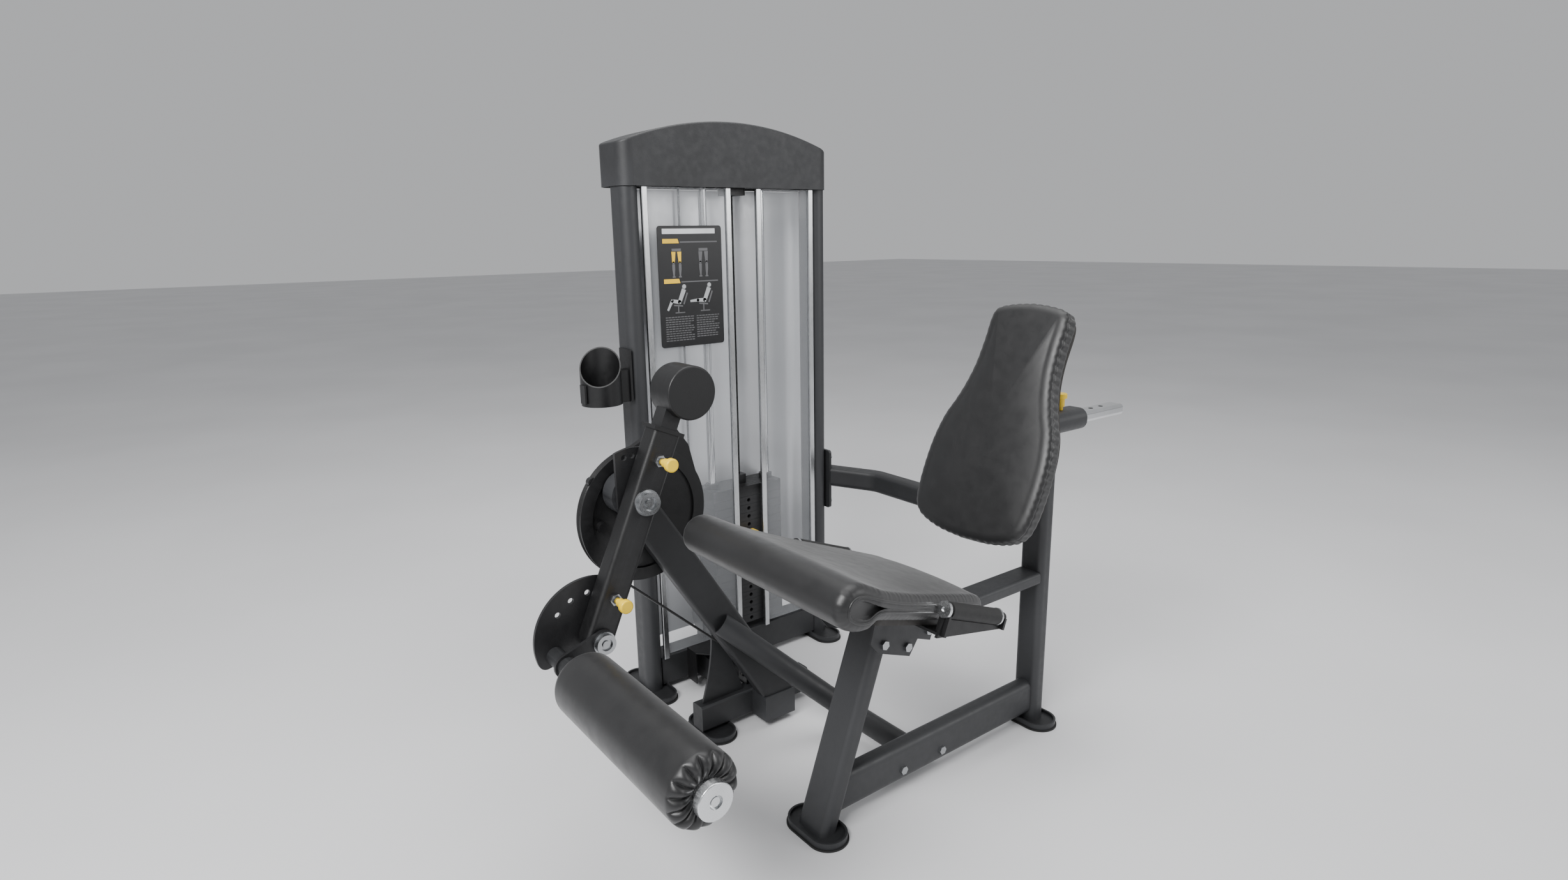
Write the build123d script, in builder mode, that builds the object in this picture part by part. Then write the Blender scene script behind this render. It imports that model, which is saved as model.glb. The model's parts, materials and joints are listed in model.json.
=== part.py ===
from build123d import *
import os
from math import acos, atan2, cos, degrees, hypot, pi, radians, sin, sqrt

# Selectorised leg extension machine. Millimetres, +Z up, floor at z = 0.
# +X runs from the roller towards the backrest (the sitter faces -X) and +Y from the seat
# towards the weight tower. The origin is on the floor under the centre of the whole machine.

os.makedirs("parts", exist_ok=True)

# ---------------------------------------------------------------- driving dimensions
TOWER_HEIGHT = 1500.0
SEAT_Y = -306.0            # centre plane of seat, backrest, front leg and rear post
TOWER_Y = 433.0            # centre plane of the two uprights
TOWER_X = 34.5             # middle of the tower
STACK_X = 71.0             # middle of the weight stack
STACK_Y = 454.0
PIVOT_X = -463.0           # lever pivot, level with the sitter's knee
PIVOT_Z = 684.0
LEVER_TILT = 23.5          # lever leans back from vertical by this angle
LEVER_LENGTH = 300.0       # pivot to lower joint
FIT = 0.05                 # radial clearance of a running fit
GAP = 0.3                  # space kept between curved faces that only lie side by side

LEVER_SIN = sin(radians(LEVER_TILT))
LEVER_COS = cos(radians(LEVER_TILT))
JOINT_X = PIVOT_X - LEVER_LENGTH * LEVER_SIN
JOINT_Z = PIVOT_Z - LEVER_LENGTH * LEVER_COS
ROLLER_X = -664.0
ROLLER_Z = 381.0

# layers across the lever, from the sitter's side to the tower side
LINK_Y = (-1.0, 7.0)
ARM_Y = (9.0, 59.0)
PLATE_Y = (61.0, 69.0)
SUPPORT_Y = (76.0, 116.0)
CAM_Y = (122.0, 144.0)
CABLE_PLANE_Y = 133.0
SHAFT_R = 15.0

CABLE_R = 3.0
PULLEY_R = 45.0            # cable centre line on the corner and base pulleys
CAM_R = 149.0              # cable centre line on the cam
CAM_X = -408.0             # centre of the cam's round rim, off the pivot
CAM_Z = 620.0
RUN_X = -66.0              # cable run under the cover and up the tower
RUN_Y = 499.0
RUN_Z = 103.0
TOP_PULLEY_Z = 1416.0

PIN_TRAVEL = 8.0           # the three pull pins are drawn out, this far from engaged
ROW_SHIFT = (0.5, 8.5)     # puts the origin under the middle of the whole machine


def save(builder, node):
    placed = Location((ROW_SHIFT[0], ROW_SHIFT[1], 0)) * builder.part
    placed.label = node
    export_step(placed, "parts/" + node + ".step")


def side_plane(y):
    """Sketch plane across the machine: local x is X, local y is Z, extrusion goes to -Y."""
    return Plane(origin=(0, y, 0), x_dir=(1, 0, 0), z_dir=(0, -1, 0))


def front_plane(x):
    """Sketch plane facing -X: local x is Y, local y is Z, extrusion goes to +X."""
    return Plane(origin=(x, 0, 0), x_dir=(0, 1, 0), z_dir=(1, 0, 0))


def on_lever(distance, offset=0.0):
    """Point (X, Z) on the lever's centre line, distance above the pivot, offset to +X."""
    x = PIVOT_X + distance * LEVER_SIN + offset * LEVER_COS
    z = PIVOT_Z + distance * LEVER_COS - offset * LEVER_SIN
    return x, z


def rotated(x, z, radius, angle):
    """Point (X, Z) at an angle measured from straight up, positive towards +X."""
    return x + radius * sin(radians(angle)), z + radius * cos(radians(angle))


def disc(x, z, radius, y_range, hole=0.0):
    """Round plate or tube with its axis along Y."""
    with BuildPart() as piece:
        with BuildSketch(side_plane(y_range[1])):
            with Locations((x, z)):
                Circle(radius)
                if hole:
                    Circle(hole, mode=Mode.SUBTRACT)
        extrude(amount=y_range[1] - y_range[0])
    return piece


# ---------------------------------------------------------------- tower frame
UPRIGHT_W = 48.0
UPRIGHT_D = 80.0
UPRIGHT_R = 23.0
WALL = 3.0
UPRIGHT_OUT = 315.5        # tower middle to an upright's outer face
FOOT_T = 10.0
RIM_TOP = 17.0             # raised rim round each foot plate; the base tubes rest on it
UPRIGHT_TOP = 1400.0


with BuildPart() as uprights:
    with BuildSketch(Plane.XY.offset(FOOT_T)):
        for side in (-1, 1):
            with Locations((TOWER_X + side * (UPRIGHT_OUT - UPRIGHT_W / 2), TOWER_Y)):
                RectangleRounded(UPRIGHT_W, UPRIGHT_D, UPRIGHT_R)
                RectangleRounded(UPRIGHT_W - 2 * WALL, UPRIGHT_D - 2 * WALL,
                                 UPRIGHT_R - WALL, mode=Mode.SUBTRACT)
    extrude(amount=UPRIGHT_TOP - FOOT_T)
save(uprights, "tower_uprights")

INNER_LEFT = TOWER_X - UPRIGHT_OUT + UPRIGHT_W
INNER_RIGHT = TOWER_X + UPRIGHT_OUT - UPRIGHT_W
CROSSBAR_TOP = 95.0
CROSSBAR_Y = (405.0, 473.0)

TOP_PLATE_Z = (1345.0, 1353.0)
ROD_R = 11.0
ROD_PITCH = 92.0
SWING_X = STACK_X - RUN_X
SWING_Y = STACK_Y - RUN_Y
TOP_PULLEY_R = hypot(SWING_X, SWING_Y) / 2
TOP_PULLEY = ((STACK_X + RUN_X) / 2, (STACK_Y + RUN_Y) / 2, TOP_PULLEY_Z)
TOP_TURN = degrees(atan2(SWING_Y, SWING_X))

with BuildPart() as top_plate:
    with BuildSketch(Plane.XY.offset(TOP_PLATE_Z[0])):
        with Locations((TOWER_X, 455)):
            Rectangle(INNER_RIGHT - INNER_LEFT, 110)
        with Locations((TOP_PULLEY[0], TOP_PULLEY[1])):
            SlotOverall(2 * TOP_PULLEY_R + 18, 19, rotation=TOP_TURN, mode=Mode.SUBTRACT)
        with Locations((STACK_X - ROD_PITCH, STACK_Y), (STACK_X + ROD_PITCH, STACK_Y)):
            Circle(ROD_R, mode=Mode.SUBTRACT)
    extrude(amount=TOP_PLATE_Z[1] - TOP_PLATE_Z[0])
    with BuildSketch(Plane.XY.offset(TOP_PLATE_Z[0] - 22)):
        with Locations((STACK_X, STACK_Y)):
            RectangleRounded(52, 60, 6)
            Circle(10, mode=Mode.SUBTRACT)
    extrude(amount=22)
save(top_plate, "tower_top_plate")

with BuildPart() as guide_rods:
    for side in (-1, 1):
        with BuildSketch(Plane.XY.offset(CROSSBAR_TOP)):
            with Locations((STACK_X + side * ROD_PITCH, STACK_Y)):
                Circle(ROD_R)
        extrude(amount=TOP_PLATE_Z[1] - CROSSBAR_TOP)
save(guide_rods, "guide_rods")

# ---------------------------------------------------------------- tower cowl
COWL_BOTTOM = 1340.0
COWL_CORNER = 1440.0
COWL_HALF = 320.0
COWL_Y = (386.0, 520.0)
COWL_WALL = 3.0
COWL_ROUND = 34.0


def cowl_outline(inset):
    """Arched front outline of the cowl, drawn inside a given inset."""
    half = COWL_HALF - inset
    with BuildLine() as outline:
        Polyline((TOWER_X - half, COWL_CORNER - inset), (TOWER_X - half, COWL_BOTTOM),
                 (TOWER_X + half, COWL_BOTTOM), (TOWER_X + half, COWL_CORNER - inset))
        ThreePointArc((TOWER_X + half, COWL_CORNER - inset), (TOWER_X, TOWER_HEIGHT - inset),
                      (TOWER_X - half, COWL_CORNER - inset))
    return outline


with BuildPart() as cowl_hollow:
    with BuildSketch(side_plane(COWL_Y[1] - COWL_WALL)):
        add(cowl_outline(COWL_WALL).line)
        make_face()
    extrude(amount=COWL_Y[1] - COWL_Y[0] - 2 * COWL_WALL)
    fillet(cowl_hollow.edges().filter_by(Axis.Z), COWL_ROUND - COWL_WALL)

with BuildPart() as cowl:
    with BuildSketch(side_plane(COWL_Y[1])):
        add(cowl_outline(0).line)
        make_face()
    extrude(amount=COWL_Y[1] - COWL_Y[0])
    fillet(cowl.edges().filter_by(Axis.Z), COWL_ROUND)
    fillet(cowl.faces().sort_by(Axis.Z)[-1].edges(), 6)
    add(cowl_hollow.part, mode=Mode.SUBTRACT)
save(cowl, "tower_cowl")

# ---------------------------------------------------------------- shields, strips and shroud
SHIELD_Y = (396.0, 400.0)
SHIELD_Z = (108.0, 1338.0)
STRIP_FOOT = 96.0
GAP_X = (28.0, 108.0)      # open slot between the two front shields, for the selector pin
STRIP_W = 16.0
STRIP_Y = (392.0, 402.0)


STRIP_X = (INNER_LEFT + 2 + STRIP_W / 2, GAP_X[0] - STRIP_W / 2,
           GAP_X[1] + STRIP_W / 2, INNER_RIGHT - 2 - STRIP_W / 2)

with BuildPart() as front_shields:
    for left, right in ((STRIP_X[0] - 2, STRIP_X[1] + 2), (STRIP_X[2] - 2, STRIP_X[3] + 2)):
        with BuildSketch(side_plane(SHIELD_Y[1])):
            with Locations(((left + right) / 2, (SHIELD_Z[0] + SHIELD_Z[1]) / 2)):
                Rectangle(right - left, SHIELD_Z[1] - SHIELD_Z[0])
        extrude(amount=SHIELD_Y[1] - SHIELD_Y[0])
save(front_shields, "front_shields")

with BuildPart() as shield_strips:
    for strip_x, inward in zip(STRIP_X, (1, -1, 1, -1)):
        with BuildSketch(Plane.XY.offset(STRIP_FOOT)):
            with Locations((strip_x, (STRIP_Y[0] + STRIP_Y[1]) / 2)):
                RectangleRounded(STRIP_W, STRIP_Y[1] - STRIP_Y[0], 2)
            with Locations((strip_x + inward * 4, (SHIELD_Y[0] + SHIELD_Y[1]) / 2)):
                Rectangle(STRIP_W - 4, SHIELD_Y[1] - SHIELD_Y[0], mode=Mode.SUBTRACT)
        extrude(amount=SHIELD_Z[1] - STRIP_FOOT)
save(shield_strips, "shield_edge_strips")

PLACARD_X = (-193.0, -5.0)
PLACARD_Z = (944.0, 1246.0)

with BuildPart() as placard:
    with BuildSketch(side_plane(SHIELD_Y[0])):
        with Locations(((PLACARD_X[0] + PLACARD_X[1]) / 2, (PLACARD_Z[0] + PLACARD_Z[1]) / 2)):
            RectangleRounded(PLACARD_X[1] - PLACARD_X[0], PLACARD_Z[1] - PLACARD_Z[0], 8)
    extrude(amount=2)
save(placard, "instruction_placard")

SHROUD_Y = 514.0
SHROUD_BEND = 36.0
SHROUD_EDGE = 280.0

with BuildPart() as rear_shroud:
    with BuildLine(Plane.XY.offset(SHIELD_Z[0])) as shroud_line:
        FilletPolyline((TOWER_X - SHROUD_EDGE, 476), (TOWER_X - SHROUD_EDGE, SHROUD_Y),
                       (TOWER_X + SHROUD_EDGE, SHROUD_Y), (TOWER_X + SHROUD_EDGE, 476),
                       radius=SHROUD_BEND)
    with BuildSketch(Plane.XY.offset(SHIELD_Z[0])):
        add(offset(shroud_line.line, amount=1.5, side=Side.BOTH, mode=Mode.PRIVATE))
        make_face()
    extrude(amount=SHIELD_Z[1] - SHIELD_Z[0])
save(rear_shroud, "rear_shroud")

# ---------------------------------------------------------------- weight stack
PLATE_PITCH = 24.0
PLATE_GAP = 0.6
STACK_BASE = 115.0
LOWER_COUNT = 11
UPPER_COUNT = 5
TOP_PLATE_T = 31.0
PLATE_W = 230.0
PLATE_D = 90.0
SELECTOR_R = 13.0
PIN_R = 5.0


def stack_plates(first_z, count, thickness):
    """A run of weight plates, each with guide holes, a selector hole and a pin hole."""
    with BuildPart() as piece:
        for index in range(count):
            z = first_z + index * PLATE_PITCH
            with BuildSketch(Plane.XY.offset(z)):
                with Locations((STACK_X, STACK_Y)):
                    RectangleRounded(PLATE_W, PLATE_D, 4)
                    Circle(SELECTOR_R + 1.5, mode=Mode.SUBTRACT)
                with Locations((STACK_X - ROD_PITCH, STACK_Y), (STACK_X + ROD_PITCH, STACK_Y)):
                    Circle(ROD_R + 1.0, mode=Mode.SUBTRACT)
            extrude(amount=thickness - PLATE_GAP)
            with BuildSketch(side_plane(STACK_Y)):
                with Locations((STACK_X, z + PLATE_PITCH / 2)):
                    Circle(PIN_R + 0.6)
            extrude(amount=PLATE_D / 2, mode=Mode.SUBTRACT)
    return piece


UPPER_Z = STACK_BASE + LOWER_COUNT * PLATE_PITCH
TOP_Z = UPPER_Z + UPPER_COUNT * PLATE_PITCH
STACK_TOP = TOP_Z + TOP_PLATE_T
PIN_Z = UPPER_Z + PLATE_PITCH / 2
save(stack_plates(STACK_BASE, LOWER_COUNT, PLATE_PITCH), "lower_weight_plates")
save(stack_plates(UPPER_Z, UPPER_COUNT, PLATE_PITCH), "upper_weight_plates")

SELECTOR_TOP = STACK_TOP + 26.0

with BuildPart() as top_weight:
    with BuildSketch(Plane.XY.offset(TOP_Z)):
        with Locations((STACK_X, STACK_Y)):
            RectangleRounded(PLATE_W, PLATE_D, 4)
            Circle(SELECTOR_R, mode=Mode.SUBTRACT)
        with Locations((STACK_X - ROD_PITCH, STACK_Y), (STACK_X + ROD_PITCH, STACK_Y)):
            Circle(ROD_R + FIT, mode=Mode.SUBTRACT)
    extrude(amount=TOP_PLATE_T - PLATE_GAP)
    with BuildSketch(Plane.XY.offset(STACK_TOP - PLATE_GAP)):
        with Locations((STACK_X - ROD_PITCH, STACK_Y), (STACK_X + ROD_PITCH, STACK_Y)):
            Circle(ROD_R + 8)
            Circle(ROD_R + FIT, mode=Mode.SUBTRACT)
    extrude(amount=14)
save(top_weight, "top_weight_plate")

with BuildPart() as selector_rod:
    with BuildSketch(Plane.XY.offset(STACK_BASE + 2)):
        with Locations((STACK_X, STACK_Y)):
            Circle(SELECTOR_R)
    extrude(amount=STACK_TOP - STACK_BASE - 2)
    with BuildSketch(Plane.XY.offset(STACK_TOP)):
        with Locations((STACK_X, STACK_Y)):
            RectangleRounded(30, 30, 4)
    extrude(amount=SELECTOR_TOP - STACK_TOP)
    with BuildSketch(side_plane(STACK_Y + 20)):
        for index in range(LOWER_COUNT + UPPER_COUNT):
            with Locations((STACK_X, STACK_BASE + (index + 0.5) * PLATE_PITCH)):
                Circle(PIN_R + FIT)
    extrude(amount=40, mode=Mode.SUBTRACT)
save(selector_rod, "selector_rod")

with BuildPart() as selector_pin:
    with BuildSketch(side_plane(STACK_Y + 12)):
        with Locations((STACK_X, PIN_Z)):
            Circle(PIN_R)
    extrude(amount=STACK_Y + 12 - 398)
    with BuildSketch(side_plane(398)):
        with Locations((STACK_X, PIN_Z)):
            Circle(14)
    extrude(amount=26)
    fillet(selector_pin.faces().sort_by(Axis.Y)[0].edges(), 5)
save(selector_pin, "selector_pin")

with BuildPart() as stack_bumpers:
    for side in (-1, 1):
        with BuildSketch(Plane.XY.offset(CROSSBAR_TOP)):
            with Locations((STACK_X + side * ROD_PITCH, STACK_Y)):
                Circle(18)
                Circle(ROD_R + GAP, mode=Mode.SUBTRACT)
        extrude(amount=STACK_BASE - CROSSBAR_TOP)
save(stack_bumpers, "stack_bumpers")

# ---------------------------------------------------------------- cable line
def cam_tangent():
    """Angle on the cam where the straight run leaves, as seen along the pivot axis."""
    dx = RUN_X - CAM_X
    dz = RUN_Z - CAM_Z
    return atan2(dz, dx) - acos(CAM_R / hypot(dx, dz))


CAM_ANGLE = cam_tangent()
CAM_OFF = (CAM_X + CAM_R * cos(CAM_ANGLE), CABLE_PLANE_Y, CAM_Z + CAM_R * sin(CAM_ANGLE))
RUN_DIR = (-sin(CAM_ANGLE), cos(CAM_ANGLE))          # X and Z of the run off the cam
CORNER_PULLEY = (RUN_X - PULLEY_R * RUN_DIR[0], CABLE_PLANE_Y + PULLEY_R,
                 RUN_Z - PULLEY_R * RUN_DIR[1])
CORNER_AXIS = (-RUN_DIR[1], 0, RUN_DIR[0])
BASE_PULLEY = (RUN_X, RUN_Y - PULLEY_R, RUN_Z + PULLEY_R)
TOP_AXIS = (-sin(radians(TOP_TURN)), cos(radians(TOP_TURN)), 0)
HALF = cos(pi / 4)

# ---------------------------------------------------------------- pulleys
PULLEY_T = 16.0
GROOVE_DEPTH = 5.0
GROOVE_FLAT = 3.3
AXLE_R = 6.0


def pulley(centre, axis, radius):
    """Grooved cable wheel about an axis through its centre."""
    half = PULLEY_T / 2
    outer = radius + GROOVE_DEPTH
    floor = radius - CABLE_R - GAP
    radial = Vector(*axis).cross(Vector(0, 0, 1)).normalized()
    with BuildPart() as piece:
        with BuildSketch(Plane(origin=centre, x_dir=radial, z_dir=radial.cross(Vector(*axis)))):
            with BuildLine():
                Polyline((AXLE_R + FIT, -half), (outer, -half), (outer, -half + 2.5),
                         (floor, -GROOVE_FLAT), (floor, GROOVE_FLAT),
                         (outer, half - 2.5), (outer, half), (AXLE_R + FIT, half), close=True)
            make_face()
        revolve(axis=Axis(centre, axis))
    return piece


save(pulley(CORNER_PULLEY, CORNER_AXIS, PULLEY_R), "corner_pulley")
save(pulley(BASE_PULLEY, (1, 0, 0), PULLEY_R), "base_pulley")
save(pulley(TOP_PULLEY, TOP_AXIS, TOP_PULLEY_R), "top_pulley")

CHEEK_T = 4.0
CHEEK_AT = PULLEY_T / 2 + 2.0
BEAM_TOP = 84.0


def beside(centre, axis, distance):
    return tuple(c + distance * a for c, a in zip(centre, axis))


with BuildPart() as pulley_brackets:
    for centre, axis, floor_z in ((TOP_PULLEY, TOP_AXIS, TOP_PLATE_Z[1]),
                                  (BASE_PULLEY, (1, 0, 0), CROSSBAR_TOP)):
        for side in (-1, 1):
            start = beside(centre, axis, side * (CHEEK_AT + CHEEK_T / 2) - CHEEK_T / 2)
            across = Vector(0, 0, 1).cross(Vector(*axis))
            with BuildSketch(Plane(origin=start, x_dir=across, z_dir=axis)):
                with Locations((0, (floor_z - centre[2] + 16) / 2)):
                    Rectangle(32, centre[2] + 16 - floor_z)
            extrude(amount=CHEEK_T)
    seat = beside(CORNER_PULLEY, CORNER_AXIS, -CHEEK_AT)
    with BuildSketch(side_plane(CORNER_PULLEY[1] + 18)):
        with BuildLine():
            Polyline((seat[0] - 22 * RUN_DIR[0], BEAM_TOP), (seat[0] + 22 * RUN_DIR[0], BEAM_TOP),
                     (seat[0] + 22 * RUN_DIR[0], seat[2] + 22 * RUN_DIR[1]),
                     (seat[0] - 22 * RUN_DIR[0], seat[2] - 22 * RUN_DIR[1]), close=True)
        make_face()
    extrude(amount=36)
    for centre, axis, first, last in ((TOP_PULLEY, TOP_AXIS, -17, 17),
                                      (BASE_PULLEY, (1, 0, 0), -15, 15),
                                      (CORNER_PULLEY, CORNER_AXIS, -CHEEK_AT - 30, 16)):
        with BuildSketch(Plane(origin=beside(centre, axis, first), z_dir=axis)):
            Circle(AXLE_R)
        extrude(amount=last - first)
save(pulley_brackets, "pulley_brackets")

# ---------------------------------------------------------------- cable
CORNER_IN = (RUN_X - PULLEY_R * RUN_DIR[0], CABLE_PLANE_Y, RUN_Z - PULLEY_R * RUN_DIR[1])
CORNER_MID = (RUN_X - PULLEY_R * RUN_DIR[0] * (1 - HALF), CORNER_PULLEY[1] - PULLEY_R * HALF,
              RUN_Z - PULLEY_R * RUN_DIR[1] * (1 - HALF))

with BuildPart() as drive_cable:
    with BuildLine() as route:
        Line(CAM_OFF, CORNER_IN)
        ThreePointArc(CORNER_IN, CORNER_MID, (RUN_X, CORNER_PULLEY[1], RUN_Z))
        Line((RUN_X, CORNER_PULLEY[1], RUN_Z), (RUN_X, BASE_PULLEY[1], RUN_Z))
        ThreePointArc((RUN_X, BASE_PULLEY[1], RUN_Z),
                      (RUN_X, BASE_PULLEY[1] + PULLEY_R * HALF, BASE_PULLEY[2] - PULLEY_R * HALF),
                      (RUN_X, RUN_Y, BASE_PULLEY[2]))
        Line((RUN_X, RUN_Y, BASE_PULLEY[2]), (RUN_X, RUN_Y, TOP_PULLEY_Z))
        ThreePointArc((RUN_X, RUN_Y, TOP_PULLEY_Z),
                      (TOP_PULLEY[0], TOP_PULLEY[1], TOP_PULLEY_Z + TOP_PULLEY_R),
                      (STACK_X, STACK_Y, TOP_PULLEY_Z))
        Line((STACK_X, STACK_Y, TOP_PULLEY_Z), (STACK_X, STACK_Y, SELECTOR_TOP))
    with BuildSketch(Plane(origin=route.line @ 0, z_dir=route.line % 0)):
        Circle(CABLE_R)
    sweep(path=route.line)
save(drive_cable, "drive_cable")

WRAP_END = 146.0           # the cable's anchor on the rim, degrees from +X about the cam's centre


def on_cam(angle):
    return CAM_X + CAM_R * cos(angle), CABLE_PLANE_Y, CAM_Z + CAM_R * sin(angle)


with BuildPart() as cam_cable:
    with BuildLine() as wrap:
        middle = (CAM_ANGLE + radians(WRAP_END - 360)) / 2
        ThreePointArc(CAM_OFF, on_cam(middle), on_cam(radians(WRAP_END)))
    with BuildSketch(Plane(origin=wrap.line @ 0, z_dir=wrap.line % 0)):
        Circle(CABLE_R)
    sweep(path=wrap.line)
save(cam_cable, "cam_cable_wrap")

# ---------------------------------------------------------------- base frame
RAIL_Y = (SEAT_Y - 22.0, SEAT_Y + 22.0)
RAIL_Z = (28.0, 116.0)
POST_X = 431.0
POST_W = 45.0
POST_D = 66.0
SLEEVE_Z = 773.0
SLEEVE_H = 52.0
LEG_FOOT_X = -295.0        # front face of the front leg, continued down to the floor
LEG_SLOPE = 0.36           # the leg leans back this much per unit of height
LEG_T = 44.0               # leg thickness measured along X
LEG_W = 84.0

SEAT_TILT = 21.0
SEAT_SIN = sin(radians(SEAT_TILT))
SEAT_COS = cos(radians(SEAT_TILT))
SEAT_CREST = (-377.0, SEAT_Y, 662.0)
PAD_UNDER = -62.0          # heights below the seat's top plane, square to it
BOARD_UNDER = -74.0
BRACKET_UNDER = -79.0


def seat_point(along, y, height):
    """World point from a distance down the seat, a Y offset and a height off its top plane."""
    return (SEAT_CREST[0] + along * SEAT_COS + height * SEAT_SIN, SEAT_Y + y,
            SEAT_CREST[2] - along * SEAT_SIN + height * SEAT_COS)


def seat_level(height):
    """Plane parallel to the seat's top."""
    return Plane(origin=seat_point(0, 0, height), x_dir=(SEAT_COS, 0, -SEAT_SIN),
                 z_dir=(SEAT_SIN, 0, SEAT_COS))


def seat_side(y):
    """Plane across the seat: local x runs down the seat, local y is the height off its top."""
    return Plane(origin=seat_point(0, y, 0), x_dir=(SEAT_COS, 0, -SEAT_SIN), z_dir=(0, -1, 0))


def seat_end(along, y, height):
    """Plane square to the seat's slope: local x is Y, local y is the height."""
    return Plane(origin=seat_point(along, y, height), x_dir=(0, 1, 0),
                 z_dir=(SEAT_COS, 0, -SEAT_SIN))


def leg_front(z):
    return LEG_FOOT_X + LEG_SLOPE * z


with BuildPart() as front_leg:
    with BuildSketch(side_plane(SEAT_Y + LEG_W / 2)):
        with BuildLine():
            Polyline((leg_front(FOOT_T), FOOT_T), (leg_front(FOOT_T) + LEG_T, FOOT_T),
                     (leg_front(520) + LEG_T, 520), (leg_front(520), 520), close=True)
        make_face()
    extrude(amount=LEG_W)
    fillet(front_leg.edges().filter_by(lambda e: abs((e % 0.5).Z) > 0.8), 14)
    split(bisect_by=seat_level(BRACKET_UNDER), keep=Keep.BOTTOM)
save(front_leg, "front_leg")

with BuildPart() as rear_post:
    with BuildSketch(Plane.XY.offset(FOOT_T)):
        with Locations((POST_X, SEAT_Y)):
            RectangleRounded(POST_W, POST_D, 16)
            RectangleRounded(POST_W - 2 * WALL, POST_D - 2 * WALL, 16 - WALL, mode=Mode.SUBTRACT)
    extrude(amount=SLEEVE_Z - SLEEVE_H / 2 - FOOT_T)
save(rear_post, "rear_post")


def level_tube(width, z_range, corner):
    """Tube from the back of the front leg to the front of the rear post."""
    height = z_range[1] - z_range[0]
    with BuildPart() as piece:
        with BuildSketch(front_plane(-320)):
            with Locations((SEAT_Y, z_range[0] + height / 2)):
                RectangleRounded(width, height, corner)
                RectangleRounded(width - 2 * WALL, height - 2 * WALL, corner - WALL, mode=Mode.SUBTRACT)
        extrude(amount=POST_X - POST_W / 2 + 320)
        split(bisect_by=Plane(origin=(leg_front(0) + LEG_T, 0, 0), z_dir=(1, 0, -LEG_SLOPE)),
              keep=Keep.TOP)
    return piece


save(level_tube(RAIL_Y[1] - RAIL_Y[0], RAIL_Z, 18), "base_rail")
save(level_tube(66, (381, 411), 9), "seat_support_tube")

CROSS_X = 25.0
CROSS_TURN_Y = -75.0
CROSS_R = 27.0
CROSS_Z = 61.0
BRACE_END = (-236.0, SUPPORT_Y[0], 312.0)
FLANGE_T = 8.0

with BuildPart() as cross_tube:
    with BuildLine() as cross_line:
        FilletPolyline((CROSS_X, RAIL_Y[1], CROSS_Z), (CROSS_X, CROSS_TURN_Y, CROSS_Z),
                       (BRACE_END[0] * 1.04 - CROSS_X * 0.04,
                        BRACE_END[1] * 1.04 - CROSS_TURN_Y * 0.04,
                        BRACE_END[2] * 1.04 - CROSS_Z * 0.04), radius=90)
    with BuildSketch(Plane(origin=cross_line.line @ 0, z_dir=cross_line.line % 0)):
        Circle(CROSS_R)
        Circle(CROSS_R - WALL, mode=Mode.SUBTRACT)
    sweep(path=cross_line.line)
    split(bisect_by=Plane(origin=(0, SUPPORT_Y[0], 0), z_dir=(0, -1, 0)), keep=Keep.TOP)
    with BuildSketch(side_plane(RAIL_Y[1] + FLANGE_T)):
        with Locations((CROSS_X, CROSS_Z)):
            RectangleRounded(160, 70, 8)
    extrude(amount=FLANGE_T)
save(cross_tube, "cross_tube")

SUPPORT_W = 78.0
SUPPORT_SLOPE = 0.64
SUPPORT_FOOT_X = PIVOT_X + SUPPORT_SLOPE * (PIVOT_Z - BEAM_TOP)
HOUSING_R = 46.0
BEARING_R = 26.0
BEARING_T = 14.0

with BuildPart() as pivot_support:
    with BuildSketch(side_plane(SUPPORT_Y[1])):
        half = SUPPORT_W / 2 * sqrt(1 + SUPPORT_SLOPE ** 2)
        with BuildLine():
            Polyline((PIVOT_X - half, PIVOT_Z), (SUPPORT_FOOT_X - half, BEAM_TOP),
                     (SUPPORT_FOOT_X + half, BEAM_TOP), (PIVOT_X + half, PIVOT_Z), close=True)
        make_face()
    extrude(amount=SUPPORT_Y[1] - SUPPORT_Y[0])
    fillet(pivot_support.edges().filter_by(lambda e: abs((e % 0.5).Z) > 0.7), 9)
    with BuildSketch(side_plane(SUPPORT_Y[1] + 2)):
        with Locations((PIVOT_X, PIVOT_Z)):
            Circle(HOUSING_R)
    extrude(amount=SUPPORT_Y[1] - SUPPORT_Y[0] + 4)
    with BuildSketch(side_plane(SUPPORT_Y[1] + 2)):
        with Locations((PIVOT_X, PIVOT_Z)):
            Circle(BEARING_R)
    extrude(amount=SUPPORT_Y[1] - SUPPORT_Y[0] + 4, mode=Mode.SUBTRACT)
save(pivot_support, "pivot_support")

with BuildPart() as pivot_bearings:
    for y in (SUPPORT_Y[1] + 1, SUPPORT_Y[0] - 1 + BEARING_T):
        with BuildSketch(side_plane(y)):
            with Locations((PIVOT_X, PIVOT_Z)):
                Circle(BEARING_R)
                Circle(SHAFT_R + FIT, mode=Mode.SUBTRACT)
        extrude(amount=BEARING_T)
save(pivot_bearings, "pivot_bearings")

BEAM_X = (-276.0, 58.0)
BEAM_Y = (132.0, 176.0)
TIE_HALF = 46.0

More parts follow.
